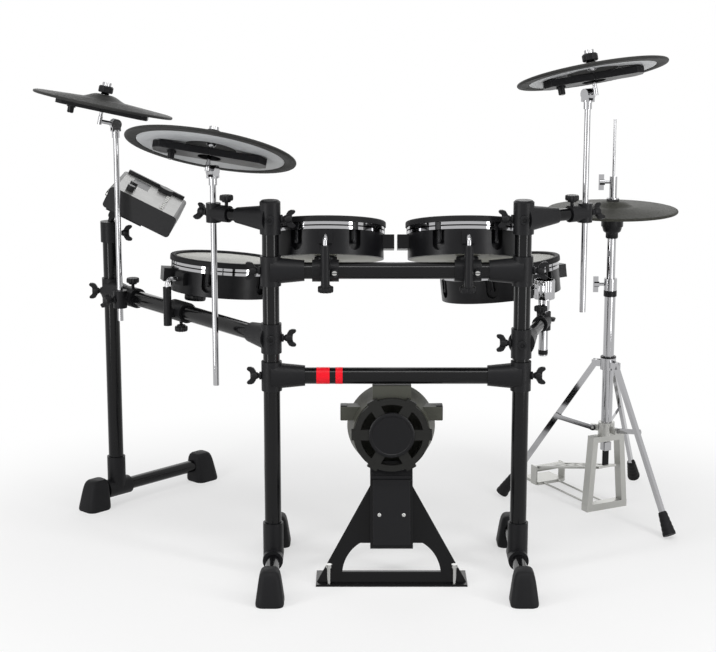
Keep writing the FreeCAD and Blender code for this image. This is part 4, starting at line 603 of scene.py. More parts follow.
def wing_bolt():
    """Bolt about +Z: stem, domed hub and two swept wings."""
    top = BOLT_STEM + WING_HUB_H
    hub = [(0, 0), (WING_HUB_R, 0), (WING_HUB_R, BOLT_STEM * 0.35), (BOLT_R * 1.4, BOLT_STEM * 0.45)]
    hub += [(BOLT_R * 1.4, BOLT_STEM * 0.55), (WING_HUB_R * 0.8, BOLT_STEM * 0.7)]
    hub += [(WING_HUB_R, BOLT_STEM + 0.0015), (WING_HUB_R, top - 0.003), (WING_HUB_R * 0.8, top)]
    hub += [(WING_HUB_R * 0.45, top), (WING_HUB_R * 0.45, top - 0.005), (0, top - 0.005)]
    wings = [(0.004, 0.006), (0.009, 0.0072), (0.0125, 0.012), (0.0155, 0.0142), (0.0185, 0.0132)]
    wings += [(WING_HALF, 0.0105), (WING_HALF, 0.004), (0.0175, -0.002), (0.010, -0.0068)]
    outline = wings + [(-x, z) for x, z in reversed(wings)]
    blade = prism(outline, -WING_T / 2, WING_T / 2)
    upright = Matrix.Translation((0, 0, top - 0.006)) @ Matrix.Rotation(math.pi / 2, 4, "X")
    return joined(revolve(hub, SMALL_ROUND), placed(blade, upright))


def thumb_knob(skin=0.0):
    """Fluted knob about +Z with a flange at its stem; skin makes it a cover for a plain one."""
    radius = KNOB_R + skin
    stem = [(0, 0), (BOLT_R + skin, 0), (BOLT_R + skin, BOLT_STEM * 0.6), (radius * 0.62, BOLT_STEM * 0.7)]
    stem += [(radius * 0.66, BOLT_STEM), (radius * 0.5, BOLT_STEM + 0.0005), (0, BOLT_STEM + 0.0005)]
    low = BOLT_STEM - skin / 4
    high = BOLT_STEM + KNOB_H + skin / 4
    grip = [(0, low), (radius * 0.93, low), (radius, low + 0.002), (radius, high - 0.003)]
    grip += [(radius * 0.92, high), (radius * 0.5, high - 0.0006), (0, high - 0.0006)]
    return joined(revolve(stem, SMALL_ROUND), revolve(grip, ROUND, flutes=12, flute_depth=0.0016))


def bolt_seats():
    """(maker, seat, direction) of every wing bolt and knob of the rack."""
    seats = []
    for post, side in ((LEFT_POST, -1), (RIGHT_POST, 1)):
        outward = X_AXIS * side
        for height in (TOM_BAR_Z, LOWER_BAR_Z):
            seats.append((wing_bolt, post + outward * TEE_R + Z_AXIS * height, outward))
        seats.append((wing_bolt, post - outward * TEE_R + Z_AXIS * TOP_TEE_Z, -outward))
    seats.append((wing_bolt, LEFT_POST + Vector((TEE_R, 0, SIDE_BAR_Z)), X_AXIS))
    seats.append((wing_bolt, RIGHT_POST + Vector((-TEE_R, 0, SNARE_ARM_Z)), -X_AXIS))
    seats.append((wing_bolt, REAR_POST + Vector((-TEE_R, 0, SIDE_BAR_Z)), -X_AXIS))
    for post, foot, height in ARMS:
        along = (foot - post).normalized()
        seats.append((wing_bolt, foot + along * CLAMP_R + Z_AXIS * height, along))
        socket = foot - along * (CLAMP_SOCKET_L - KNOB_R / 2)
        seats.append((thumb_knob, socket + Z_AXIS * (height + CLAMP_SOCKET_R), Z_AXIS))
    ring_top = LEFT_POST + SIDE_DIRECTION * CRASH_LEFT_ALONG + Z_AXIS * (SIDE_BAR_Z + PAD_CLAMP_R)
    seats.append((thumb_knob, ring_top, Z_AXIS))
    seats.append((wing_bolt, CRASH_LEFT_FOOT + SIDE_OUT * CLAMP_R + Z_AXIS * SIDE_BAR_Z, SIDE_OUT))
    floor_bend = PADS["floor_tom"][1]
    floor_along = (Vector((floor_bend.x, floor_bend.y, 0)) - LEFT_POST).dot(SIDE_DIRECTION)
    floor_ring = LEFT_POST + SIDE_DIRECTION * floor_along + Z_AXIS * SIDE_BAR_Z
    seats.append((thumb_knob, floor_ring - Z_AXIS * PAD_CLAMP_R, -Z_AXIS))
    module_seat = REAR_POST + Vector((TEE_R, 0, REAR_POST_TOP - CLAMP_H / 2))
    seats.append((wing_bolt, module_seat, X_AXIS))
    return seats


def rack_bolts():
    """Wing bolts and thumb knobs of the rack."""
    forms = [placed(maker(), facing(seat, direction)) for maker, seat, direction in bolt_seats()]
    bolts = piece("rack_wing_bolts", joined(*forms), CAST, "stand", soft=0.0008)
    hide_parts("wing_bolts")


def red_bands():
    """Red bands round the lower bar."""
    across = Matrix.Translation((0, 0, LOWER_BAR_Z)) @ Matrix.Rotation(math.pi / 2, 4, "Y")
    proud = PIPE_R + BAND_PROUD
    bands = []
    for start, end in RED_BANDS:
        ring = [(PIPE_R, start), (proud, start), (proud, end), (PIPE_R, end)]
        bands.append(placed(revolve(ring), across))
    piece("lower_bar_red_bands", joined(*bands), BAND, "stand")


def rubber_shoes():
    """Rubber shoes on the ends of the foot bars."""
    shoes = []
    for post, bearing, near, far in FOOT_ENDS:
        for seat, direction in ((post - bearing * near, -bearing), (post + bearing * far, bearing)):
            turn = Matrix.Rotation(math.atan2(direction.y, direction.x), 4, "Z")
            shoes.append(placed(shoe(), Matrix.Translation(seat) @ turn))
    feet = piece("rack_rubber_shoes", joined(*shoes), RUBBER, "stand")
    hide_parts("rubber_feet")


def tee_bosses():
    """Round bosses on the front of the tees."""
    boss = [(0, -BOSS_SUNK), (BOSS_R, -BOSS_SUNK), (BOSS_R, BOSS_H - 0.001), (BOSS_R - 0.001, BOSS_H)]
    boss += [(BOSS_R * 0.5, BOSS_H), (BOSS_R * 0.45, BOSS_H - 0.003), (0, BOSS_H - 0.003)]
    bosses = []
    for post, heights in ((LEFT_POST, (TOP_TEE_Z, SIDE_BAR_Z)), (RIGHT_POST, (TOP_TEE_Z, SNARE_ARM_Z))):
        for height in heights:
            seat = post + Vector((0, -TEE_R, height))
            bosses.append(placed(revolve(boss, SMALL_ROUND), facing(seat, -Y_AXIS)))
    piece("rack_tee_bosses", joined(*bosses), CAST, "stand")


def snare_holder():
    """Ribbed holder and collar round the snare's tube, and the tube's rubber tip."""
    at = Matrix.Translation(SNARE_FOOT)
    low = SNARE_HOLDER_LOW
    high = SNARE_HOLDER_HIGH
    ribs = [(0, low), (SNARE_RIB_R * 0.94, low), (SNARE_RIB_R, low + 0.002)]
    ribs += [(SNARE_RIB_R, high - 0.002), (SNARE_RIB_R * 0.94, high), (0, high)]
    foot = low - SNARE_COLLAR_H
    collar = [(0, foot), (SNARE_COLLAR_R, foot), (SNARE_COLLAR_R, foot + SNARE_COLLAR_H - 0.004)]
    collar += [(SNARE_COLLAR_R * 0.9, foot + SNARE_COLLAR_H), (0, foot + SNARE_COLLAR_H)]
    holder = joined(revolve(ribs, ROUND, flutes=10, flute_depth=0.0022), revolve(collar, SMALL_ROUND))
    piece("snare_ribbed_holder", placed(holder, at), CHROME, "stand")
    radius = SNARE_TUBE_R + COVER_SKIN
    end = SNARE_TUBE_LOW - COVER_SKIN
    top = SNARE_TUBE_LOW + SNARE_TIP_H
    tip = [(0, end), (radius * 0.8, end), (radius, SNARE_TUBE_LOW + 0.004), (radius, top), (0, top)]
    turned("snare_tube_tip", tip, at, RUBBER, "stand", SMALL_ROUND)


def shoe():
    """Rounded rubber shoe that points along +X."""
    rings = []
    for share, full in SHOE_RINGS:
        out = SHOE_OUT + (SHOE_TOP_OUT - SHOE_OUT) * share
        half = (SHOE_HALF_W + (SHOE_TOP_HALF_W - SHOE_HALF_W) * share) * full
        length = (out + SHOE_GRIP) * full
        middle = (out - SHOE_GRIP) / 2
        outline = rectangle(length / 2, half, min(half, length / 2) * 0.55, 6)
        rings.append([Vector((middle + x, y, SHOE_H * share)) for x, y in outline])
    return loft(rings)


# Drum pads

def pad_place(bend, back, roll, turn, reach):
    """Matrix of a pad from the bend of its arm."""
    free = tilt(back, roll)
    angle = math.radians(turn)
    offset = Vector((reach * math.cos(angle), reach * math.sin(angle), -PAD_ARM_DROP))
    return Matrix.Translation(bend - free @ offset) @ free


def tilt(back, roll):
    """Rotation with the near edge raised by back and the +X edge raised by roll, in degrees."""
    return Matrix.Rotation(math.radians(-roll), 4, "Y") @ Matrix.Rotation(math.radians(-back), 4, "X")


def drum_pads():
    """Head, base disc and lug covers of every drum pad."""
    for name, (radius, bend, back, roll, turn, reach) in PADS.items():
        place = pad_place(bend, back, roll, turn, reach)
        mesh_head(name, radius, place)
        base_disc(name, radius, place)
        covers = []
        for lug in range(LUG_COUNT):
            turn_z = Matrix.Rotation(math.radians(turn + 360 * (lug + 0.5) / LUG_COUNT), 4, "Z")
            covers.append(placed(lug_cover(radius), place @ turn_z))
        piece(f"{name}_lug_covers", joined(*covers), SHELL, name, soft=0.0006)


def mesh_head(name, radius, place):
    """Slightly crowned mesh head inside its rim."""
    reach_r = radius - RIM_W - HEAD_GAP
    profile = []
    for step in range(HEAD_STEPS + 1):
        share = step / HEAD_STEPS
        profile.append((reach_r * share, -HEAD_SINK - HEAD_CROWN * share * share))
    head = turned(f"{name}_mesh_head", profile, place, MESH, name)
    flat_map(head, place)
    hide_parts(f"{name}_head")


def base_disc(name, radius, place):
    """Pale disc with a raised ring under a shell."""
    outer = radius - SHELL_IN - 0.006
    face = SHELL_LOW - 0.0012
    ring = SHELL_LOW - 0.0022
    seat = SHELL_LOW + 0.001
    disc = [(0, face), (outer * 0.30, face), (outer * 0.32, ring), (outer * 0.36, ring), (outer * 0.38, face)]
    disc += [(outer * 0.9, face), (outer, SHELL_LOW - 0.0006), (outer, seat), (0, seat)]
    turned(f"{name}_base_disc", disc, place, BASE, name)


def lug_cover(radius):
    """Black ear cover on +X with the tension bolt's sleeve and nut below it."""
    circle = radius - (HOOP_IN + HOOP_OUT) / 2
    half = (HOOP_IN - HOOP_OUT) / 2 + COVER_SKIN
    low = HOOP_LOW - COVER_SKIN
    outline = [(circle + x, y) for x, y in rectangle(half, EAR_HALF_W + COVER_SKIN, 0.002)]
    sleeve_r = TENSION_R + COVER_SKIN
    nut_r = sleeve_r * 1.45
    foot = LUG_FOOT - COVER_SKIN
    sleeve = [(0, foot), (sleeve_r * 1.1, foot), (nut_r, LUG_FOOT + 0.001), (nut_r, LUG_FOOT + 0.007)]
    sleeve += [(sleeve_r, LUG_FOOT + 0.009), (sleeve_r, low), (0, low)]
    bolt = placed(revolve(sleeve, SMALL_ROUND), Matrix.Translation((circle, 0, 0)))
    return joined(prism(outline, low, HOOP_TOP - 0.0001), bolt)


def tom_clamp_knobs():
    """Knob covers and slotted screws on the rack toms' clamps."""
    hollow_r = CLAMP_SCREW_R * 0.62
    hollow_z = CLAMP_SCREW_H - 0.003
    collar = [(0, 0), (CLAMP_SCREW_R, 0), (CLAMP_SCREW_R, CLAMP_SCREW_H - 0.002)]
    collar += [(CLAMP_SCREW_R * 0.85, CLAMP_SCREW_H), (hollow_r, CLAMP_SCREW_H), (hollow_r, hollow_z)]
    collar += [(0, hollow_z)]
    for side, name in ((-1, "left_tom"), (1, "right_tom")):
        middle = Vector((side * TOM_X, 0, TOM_BAR_Z))
        knob = placed(thumb_knob(KNOB_COVER), facing(middle - Z_AXIS * PAD_CLAMP_R, -Z_AXIS))
        seat = middle + Vector((CLAMP_SCREW_X, -PAD_CLAMP_R + CLAMP_SCREW_SUNK, 0))
        at = facing(seat, -Y_AXIS)
        forms = joined(knob, placed(revolve(collar, SMALL_ROUND), at))
        piece(f"{name}_clamp_knob", forms, CAST, name, soft=0.0004)
        halves = [placed(half_disc(CLAMP_SCREW_R * 0.56, SCREW_SLOT_HALF, flip), at) for flip in (-1, 1)]
        piece(f"{name}_clamp_screw", joined(*halves), STEEL, name)


def under_knobs():
    """Round knob under each tom."""
    low = -TOM_KNOB_H
    grip = [(0, 0.002), (TOM_KNOB_R * 0.5, 0.002), (TOM_KNOB_R * 0.5, -0.003), (TOM_KNOB_R * 0.96, -0.003)]
    grip += [(TOM_KNOB_R, -0.005), (TOM_KNOB_R, low + 0.003), (TOM_KNOB_R * 0.94, low)]
    grip += [(TOM_KNOB_R * 0.6, low), (TOM_KNOB_R * 0.55, low + 0.002), (0, low + 0.002)]
    for name in ("left_tom", "right_tom", "floor_tom"):
        radius, bend, back, roll, turn, reach = PADS[name]
        angle = math.radians(turn)
        inward = radius - SHELL_IN - TOM_KNOB_IN
        at = Vector((inward * math.cos(angle), inward * math.sin(angle), SHELL_LOW))
        place = pad_place(bend, back, roll, turn, reach) @ Matrix.Translation(at)
        form = placed(revolve(grip, ROUND, flutes=24, flute_depth=0.0008), place)
        piece(f"{name}_under_knob", form, SHELL, name)


def half_disc(radius, gap, flip):
    """Half of a slotted screw head."""
    steps = 10
    outline = []
    for step in range(steps + 1):
        angle = math.pi * step / steps
        outline.append((radius * math.cos(angle), flip * (gap + (radius - gap) * math.sin(angle))))
    return prism(outline, CLAMP_SCREW_H - 0.005, CLAMP_SCREW_H - 0.0005)


def flat_map(made, place):
    """UV map from a round piece's own flat plane, in metres."""
    layer = made.data.uv_layers.new(name="flat")
    back = place.inverted()
    for loop in made.data.loops:
        local = back @ made.data.vertices[loop.vertex_index].co
        layer.data[loop.index].uv = (local.x, local.y)


# Cymbals

def cymbal_place(foot, high, back, roll, offset):
    """Matrix of a cymbal pad at rest."""
    pivot = foot + Z_AXIS * (high + KNUCKLE_RISE)
    rotation = tilt(back, roll)
    normal = rotation.to_3x3() @ Z_AXIS
    axis = Z_AXIS.cross(normal).normalized()
    stud_foot = pivot + normal.cross(axis) * offset
    return Matrix.Translation(stud_foot + normal * STUD_LENGTH) @ rotation


def bell_height(radius):
    """Top of the bell at a radius."""
    share = min(1.0, max(0.0, (radius - BELL_R * 0.3) / (BELL_R * 0.7)))
    return BELL_TOP + (BOW_TOP - BELL_TOP) * share * share * (3 - 2 * share)


def cymbal_skin(radius, hole):
    """Ringed rubber skin with a bell, a rolled edge and a band underneath."""
    profile = [(hole, -BELL_TOP), (hole, BELL_TOP)]
    for step in range(1, BELL_STEPS):
        reach = hole + (BELL_R - hole) * step / BELL_STEPS
        profile.append((reach, bell_height(reach)))
    reach = BELL_R
    flat_end = radius - PAD_EDGE
    while reach < flat_end:
        height = BOW_TOP + (-PAD_DROP - BOW_TOP) * (reach - BELL_R) / (radius - BELL_R)
        profile.append((reach, height))
        profile.append((reach + RING_STEP * 0.7, height))
        profile.append((reach + RING_STEP * 0.85, height - RING_DEPTH))
        reach += RING_STEP
    middle = -PAD_DROP - PAD_EDGE / 2
    half = PAD_EDGE / 2
    for step in range(EDGE_STEPS + 1):
        angle = math.pi / 2 - math.pi * step / EDGE_STEPS
        profile.append((radius - half + half * math.cos(angle), middle + half * math.sin(angle)))
    inner = radius - RIM_BAND
    profile += [(inner + 0.001, -PAD_DROP - PAD_EDGE), (inner, -PAD_DROP - PAD_EDGE + 0.001)]
    profile += [(inner, -PAD_DROP - PAD_SKIN), (BELL_R, BOW_TOP - PAD_SKIN), (BELL_R / 2, -BELL_TOP)]
    return revolve(profile, CYMBAL_ROUND, closed=True)


def sensor_bar(half):
    """Bar under a cymbal, open round the stud, with chamfered ends."""
    forms = []
    for side in (-1, 1):
        end = side * half
        shoulder = side * (half - SENSOR_CHAMFER)
        side_y = SENSOR_HALF_W - SENSOR_CHAMFER
        outline = [(0, -SENSOR_HALF_W), (shoulder, -SENSOR_HALF_W), (end, -side_y), (end, side_y)]
        outline += [(shoulder, SENSOR_HALF_W), (0, SENSOR_HALF_W)]
        for step in range(HOLE_STEPS + 1):
            angle = math.pi / 2 - math.pi * step / HOLE_STEPS
            outline.append((side * SENSOR_HOLE_R * math.cos(angle), SENSOR_HOLE_R * math.sin(angle)))
        forms.append(prism(outline, SENSOR_LOW, -PAD_DROP - PAD_SKIN - PLATE_T / 2))
    return joined(*forms)


def cymbals():
    """The three cymbals on their rods, and the hi-hat's skin."""
    for name, (foot, high, radius, back, roll, offset) in CYMBALS.items():
        place = cymbal_place(foot, high, back, roll, offset)
        form = placed(cymbal_skin(radius, BALL_R + BALL_GAP), place)
        skin = piece(f"{name}_skin", form, SKIN, f"{name}_pad", sharp=SKIN_SHARP)
        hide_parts(f"{name}_pad")
        cymbal_underside(name, radius, place)
        cymbal_jack(name, radius * SENSOR_SHARE * SENSOR_SHARE, place)
        cymbal_nut(name, place)
    place = Matrix.Translation(HIHAT + Z_AXIS * HIHAT_PAD_Z)
    form = placed(cymbal_skin(HIHAT_PAD_R, HIHAT_CLUTCH_R), place)
    skin = piece("hihat_skin", form, SPECKLED, "hihat_pull", sharp=SKIN_SHARP)
    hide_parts("hihat_pad")


def cymbal_underside(name, radius, place):
    """Pale plate and black sensor bar under a cymbal."""
    body = f"{name}_pad"
    outer = radius - RIM_BAND - 0.0005
    rim_z = -PAD_DROP - PAD_SKIN
    bell_z = BOW_TOP - PAD_SKIN
    plate = [(BELL_R, bell_z), (outer, rim_z), (outer, rim_z - PLATE_T * 0.6)]
    plate += [(outer - 0.0015, rim_z - PLATE_T), (BELL_R + 0.002, bell_z - PLATE_T)]
    plate += [(BELL_R, bell_z - PLATE_T * 0.6)]
    turned(f"{name}_underplate", plate, place, PLATE, body, closed=True)
    bar = placed(sensor_bar(radius * SENSOR_SHARE), place)
    piece(f"{name}_sensor", bar, SHELL, body, soft=0.0015)


def cymbal_jack(name, reach, place):
    """Black jack under a sensor bar, with a steel ring at its mouth."""
    body = f"{name}_pad"
    at = place @ Matrix.Translation((-reach, 0, SENSOR_LOW))
    flange = JACK_R * 1.35
    jack = [(JACK_BORE_R, -JACK_L), (JACK_R * 0.8, -JACK_L), (JACK_R, -JACK_L * 0.9), (JACK_R, -0.004)]
    jack += [(flange, -0.004), (flange, 0.001), (JACK_BORE_R, 0.001)]
    turned(f"{name}_jack", jack, at, SHELL, body, SMALL_ROUND, closed=True)
    mouth = JACK_R * 0.72
    low = -JACK_L - 0.0004
    high = -JACK_L + 0.001
    ring = [(JACK_BORE_R, low), (mouth, low), (mouth, high), (JACK_BORE_R, high)]
    turned(f"{name}_jack_ring", ring, at, STEEL, body, SMALL_ROUND, closed=True)


def cymbal_nut(name, place):
    """Fluted nut on a cymbal's stud."""
    nut = [(NUT_BORE_R, NUT_LOW), (NUT_R * 0.9, NUT_LOW), (NUT_R, NUT_LOW + 0.002)]
    nut += [(NUT_R, NUT_HIGH - 0.003), (NUT_R * 0.85, NUT_HIGH), (NUT_BORE_R, NUT_HIGH)]
    cover = placed(revolve(nut, ROUND, closed=True, flutes=16, flute_depth=0.0004), place)
    piece(f"{name}_nut", cover, CAST, f"{name}_tilter")


# Kick tower

def kick_front():
    """Disc on the kick's face and caps on the ends of its ears."""
    front = Matrix.Translation((KICK_X, KICK_FACE_Y, KICK_Z)) @ Matrix.Rotation(math.pi / 2, 4, "X")
    rim = KICK_DISC_R + 0.0008
    disc = [(0, 0.0022), (KICK_DISC_R * 0.86, 0.0022), (KICK_DISC_R * 0.89, 0.0036)]
    disc += [(KICK_DISC_R * 0.97, 0.0036), (rim, 0.0018), (rim, -0.004), (0, -0.004)]
    turned("kick_face_disc", disc, front, SHELL, "stand")
    cap = prism(rectangle(*KICK_EAR_CAP), 0, KICK_EAR_CAP_T)
    ears = []
    for side in (-1, 1):
        across = KICK_X + side * (KICK_EAR_HALF - KICK_EAR_CAP_IN)
        at = Matrix.Translation((across, KICK_EAR_Y, KICK_Z + KICK_EAR_RISE))
        ears.append(placed(cap, at @ Matrix.Rotation(side * math.pi / 2, 4, "Y")))
    piece("kick_ear_ends", joined(*ears), CAST, "stand", soft=0.002)


def kick_pad():
    """Crowned rubber pad that the beater strikes."""
    back = Matrix.Translation((KICK_X, KICK_BACK_Y, KICK_Z)) @ Matrix.Rotation(-math.pi / 2, 4, "X")
    top = KICK_PAD_T
    crown = [(0, top), (KICK_PAD_R * 0.5, top - 0.0004), (KICK_PAD_R * 0.85, top - 0.0018)]
    crown += [(KICK_PAD_R * 0.95, top - 0.004), (KICK_PAD_R, top * 0.5), (KICK_PAD_R, 0.0015)]
    crown += [(KICK_PAD_R * 0.98, 0.0002), (0, 0.0002)]
    pad = turned("kick_striking_pad", crown, back, FOAM, "stand")
    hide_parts("kick_pad")


def kick_column():
    """Panels and screws on the front of the kick's column."""
    slope = Matrix.Translation((KICK_X, KICK_LEG_Y, 0)) @ Matrix.Rotation(-KICK_SLOPE, 4, "X")
    stand_up = Matrix.Translation((0, KICK_COLUMN_FACE, 0)) @ Matrix.Rotation(math.pi / 2, 4, "X")
    on_column = slope @ stand_up
    panels = []
    for inset, half_high, middle, corner, thick in KICK_PANELS:
        outline = [(x, y + middle) for x, y in rectangle(KICK_COLUMN_HALF - inset, half_high, corner)]
        panels.append(prism(outline, -KICK_PANEL_SUNK, thick))
    form = placed(joined(*panels), on_column)
    piece("kick_column_panels", form, SHELL, "stand", soft=0.001)
    head = [(0, 0.0012), (0.0018, 0.0012), (0.0022, 0.0022), (0.0042, 0.0016)]
    head += [(0.0046, 0.0006), (0.0046, -0.001), (0, -0.001)]
    screws = []
    for across, middle, seat in KICK_SCREWS:
        for side in (-1, 1):
            at = Matrix.Translation((side * across, middle, seat))
            screws.append(placed(revolve(head, SMALL_ROUND), on_column @ at))
    piece("kick_column_screws", joined(*screws), STEEL, "stand")


# Hi-hat

def boot_profile():
    """Outline of a ribbed boot about its leg, from the foot up."""
    profile = [(0, -COVER_SKIN), (LEG_TIP_R, -COVER_SKIN)]
    for rib in range(BOOT_RIBS):
        share = rib / BOOT_RIBS
        radius = LEG_TIP_R + (LEG_TIP_TOP_R - LEG_TIP_R) * share
        low = LEG_TIP_L * share
        profile += [(radius + BOOT_GROOVE, low + 0.0004), (radius + BOOT_RIB, low + 0.002)]
        profile += [(radius + BOOT_RIB, low + 0.006), (radius - 0.0004, low + 0.0095)]
    top = LEG_TIP_L + 0.0012
    profile += [(LEG_TIP_TOP_R + BOOT_RIB, LEG_TIP_L), (LEG_TIP_TOP_R, top), (0, top)]
    return profile


def hihat_boots():
    """Ribbed rubber boots on the legs."""
    for index, turn in enumerate(LEG_TURNS):
        angle = math.radians(turn)
        out = Vector((math.cos(angle), math.sin(angle), 0))
        down = out * math.sin(LEG_SPREAD) - Z_AXIS * math.cos(LEG_SPREAD)
        pivot = HIHAT + out * LEG_PIVOT_R + Z_AXIS * COLLAR_Z
        end_z = LEG_TIP_R * math.sin(LEG_SPREAD)
        end = pivot + down * ((COLLAR_Z - end_z) / math.cos(LEG_SPREAD))
        place = facing(end, -down)
        body = f"hihat_leg_{index + 1}"
        turned(f"hihat_boot_{index + 1}", boot_profile(), place, RUBBER, body, SMALL_ROUND)


def hihat_board():
    """Slotted footboard on its heel hinge."""
    along = Matrix.Rotation(PEDAL_TURN + math.pi, 4, "Z")
    rise = math.atan2(BOARD_TOE_Z - BOARD_HEEL_Z, BOARD_L)
    heel = HIHAT + Vector((math.cos(PEDAL_TURN), math.sin(PEDAL_TURN), 0)) * BOARD_L + Z_AXIS * BOARD_HEEL_Z
    place = Matrix.Translation(heel) @ along @ Matrix.Rotation(-rise, 4, "Y")
    form = placed(slotted_board(), place)
    board = piece("hihat_slotted_board", form, SILVER, "hihat_footboard", soft=0.0008)
    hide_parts("hihat_footboard")


def hihat_cup():
    """Black cup with a knurled neck, and the black ring where the two tubes meet."""
    neck = HIHAT_CUP_NECK_R + COVER_SKIN
    wide = HIHAT_CUP_R + COVER_SKIN
    tube = HIHAT_UPPER_R + COVER_SKIN / 2
    inner = HIHAT_CUP_R - 0.001
    top = HIHAT_CUP_TOP
    bowl = HIHAT_CUP_LOW - CUP_BOWL_H
    low = bowl - CUP_KNURL_H
    knurl = [(tube, low), (neck * 0.82, low), (neck * 0.88, low + 0.002), (neck * 0.88, bowl + 0.001)]
    knurl += [(tube, bowl + 0.001)]
    cup = [(tube, bowl), (neck * 1.05, bowl), (neck * 1.25, bowl + 0.003), (wide * 0.88, bowl + 0.011)]
    cup += [(wide * 0.9, HIHAT_CUP_LOW), (wide * 0.98, HIHAT_CUP_LOW + 0.001), (wide, HIHAT_CUP_LOW + 0.003)]
    cup += [(wide, top - 0.009), (wide - 0.0012, top - 0.008), (wide, top - 0.007), (wide, top - 0.001)]
    cup += [(inner, top - 0.0003), (inner, HIHAT_CUP_SEAT), (tube, HIHAT_CUP_LOW)]
    rim = HIHAT_LOWER_R + SPLIT_RING_T
    foot = HIHAT_SPLIT_Z - SPLIT_RING_H
    head = HIHAT_SPLIT_Z - 0.0005
    bore = HIHAT_LOWER_R
    split = [(bore, foot), (rim - 0.001, foot), (rim, foot + 0.001), (rim, head), (bore, head)]
    forms = [revolve(knurl, ROUND, closed=True, flutes=24, flute_depth=0.0007), revolve(cup, closed=True)]
    forms.append(revolve(split, closed=True))
    piece("hihat_cup_cover", placed(joined(*forms), Matrix.Translation(HIHAT)), SHELL, "stand")


def hihat_rings():
    """Black bush on the collar, and the felt on the clutch."""
    at = Matrix.Translation(HIHAT)
    bore = HIHAT_LOWER_R + COVER_SKIN
    low = COLLAR_Z + COLLAR_H / 2
    high = low + BUSH_H
    bush = [(bore, low), (COLLAR_R, low), (COLLAR_R, high - 0.001), (COLLAR_R - 0.001, high), (bore, high)]
    turned("hihat_collar_bush", bush, at, SHELL, "hihat_collar", closed=True)
    bore = HIHAT_CLUTCH_R
    rim = HIHAT_CLUTCH_NUT_R + COVER_SKIN
    low = HIHAT_PAD_Z + BELL_TOP
    high = low + FELT_H
    felt = [(bore, low), (rim, low), (rim + 0.0006, low + FELT_H / 2), (rim, high), (bore, high)]
    turned("hihat_clutch_felt", felt, at, FOAM, "hihat_pull", closed=True)


def hihat_strap():
    """Strap at the foot of the pull rod."""
    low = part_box("hihat_pull_rod")[0].z
    outline = rectangle(STRAP_HALF_T + COVER_SKIN, STRAP_HALF_W + COVER_SKIN, 0.0012)
    place = Matrix.Translation(HIHAT) @ Matrix.Rotation(PEDAL_TURN, 4, "Z")
    strap = placed(prism(outline, low, low + STRAP_H), place)
    piece("hihat_strap", strap, RUBBER, "hihat_pull")


def slotted_board():
    """Footboard of side rails, rungs and a toe plate about the heel's hinge, with its barrel."""
    toe = math.hypot(BOARD_L, BOARD_TOE_Z - BOARD_HEEL_Z) + BOARD_TOE_OVER

    def half_at(x):
        return BOARD_HALF_W + (BOARD_TOE_HALF_W - BOARD_HALF_W) * x / toe - BOARD_EASE

    forms = []
    for side in (-1, 1):
        outline = [(0, side * half_at(0)), (toe, side * half_at(toe))]
        outline += [(toe, side * (half_at(toe) - BOARD_RAIL)), (0, side * (half_at(0) - BOARD_RAIL))]
        forms.append(prism(outline, 0.0005, BOARD_T))
    lap = BOARD_RAIL * 0.9
    for start, end in (*BOARD_RUNGS, (BOARD_TOE_PLATE, toe)):
        outline = [(start, -half_at(start) + lap), (end, -half_at(end) + lap)]
        outline += [(end, half_at(end) - lap), (start, half_at(start) - lap)]
        forms.append(prism(outline, 0.001, BOARD_T - 0.0006))
    half = BOARD_SPINE_HALF
    spine = [(0, -half), (toe - 0.004, -half), (toe - 0.004, half), (0, half)]
    forms.append(prism(spine, 0.001, BOARD_T - 0.0003))
    bore = HINGE_R + 0.0002
    end = BOARD_HALF_W
    barrel = [(bore, -end), (HINGE_R * 2, -end), (HINGE_R * 2, end), (bore, end)]
    forms.append(placed(revolve(barrel, SMALL_ROUND, closed=True), Matrix.Rotation(math.pi / 2, 4, "X")))
    return joined(*forms)


# Sound module

def module_top():
    """Display window and the rail along the far end."""
    top = MODULE_H / 2
    centre = (MODULE_D * DISPLAY_SHARES[0], MODULE_W * DISPLAY_SHARES[1])
    window = [(centre[0] + x, centre[1] + y) for x, y in rectangle(DISPLAY_D / 2, DISPLAY_W / 2, 0.002)]
    form = placed(prism(window, top - DISPLAY_SINK, top + 0.0003), MODULE_PLACE)
    piece("module_display", form, GLASS, "module", soft=0.0003)
    rail_at = MODULE_W / 2 - MODULE_RAIL_SET
    rail = [(x, y + rail_at) for x, y in rectangle(MODULE_D / 2 - 0.011, 0.006, 0.003)]
    form = placed(prism(rail, top + 0.0002, top + MODULE_RAIL_H), MODULE_PLACE)
    piece("module_far_rail", form, CASE, "module", soft=0.0015)


def module_jacks():
    """Steel rings round the jacks."""
    rim = MODULE_JACK_R + 0.0008
    top = MODULE_JACK_L + 0.0006
    ring = [(MODULE_JACK_BORE, 0), (rim, 0), (rim, 0.0022), (0.0052, top), (MODULE_JACK_BORE, top)]
    rings = []
    for index in range(MODULE_JACKS):
        across = MODULE_JACK_STEP * (index - (MODULE_JACKS - 1) / 2)
        seat = MODULE_PLACE @ Matrix.Translation((-MODULE_D / 2, across, 0))
        at = seat @ Matrix.Rotation(-math.pi / 2, 4, "Y")
        rings.append(placed(revolve(ring, SMALL_ROUND, closed=True), at))
    piece("module_jack_rings", joined(*rings), STEEL, "module")


# Picture

def lamp(name, at, aim, size, power):
    """Soft square lamp that looks at a point."""
    light = bpy.data.lights.new(name, "AREA")
    light.shape = "RECTANGLE"
    light.size, light.size_y = size
    light.energy = power
    made = bpy.data.objects.new(name, light)
    bpy.context.scene.collection.objects.link(made)
    made.visible_camera = False
    made.location = at
    made.rotation_euler = (Vector(aim) - Vector(at)).to_track_quat("-Z", "Y").to_euler()


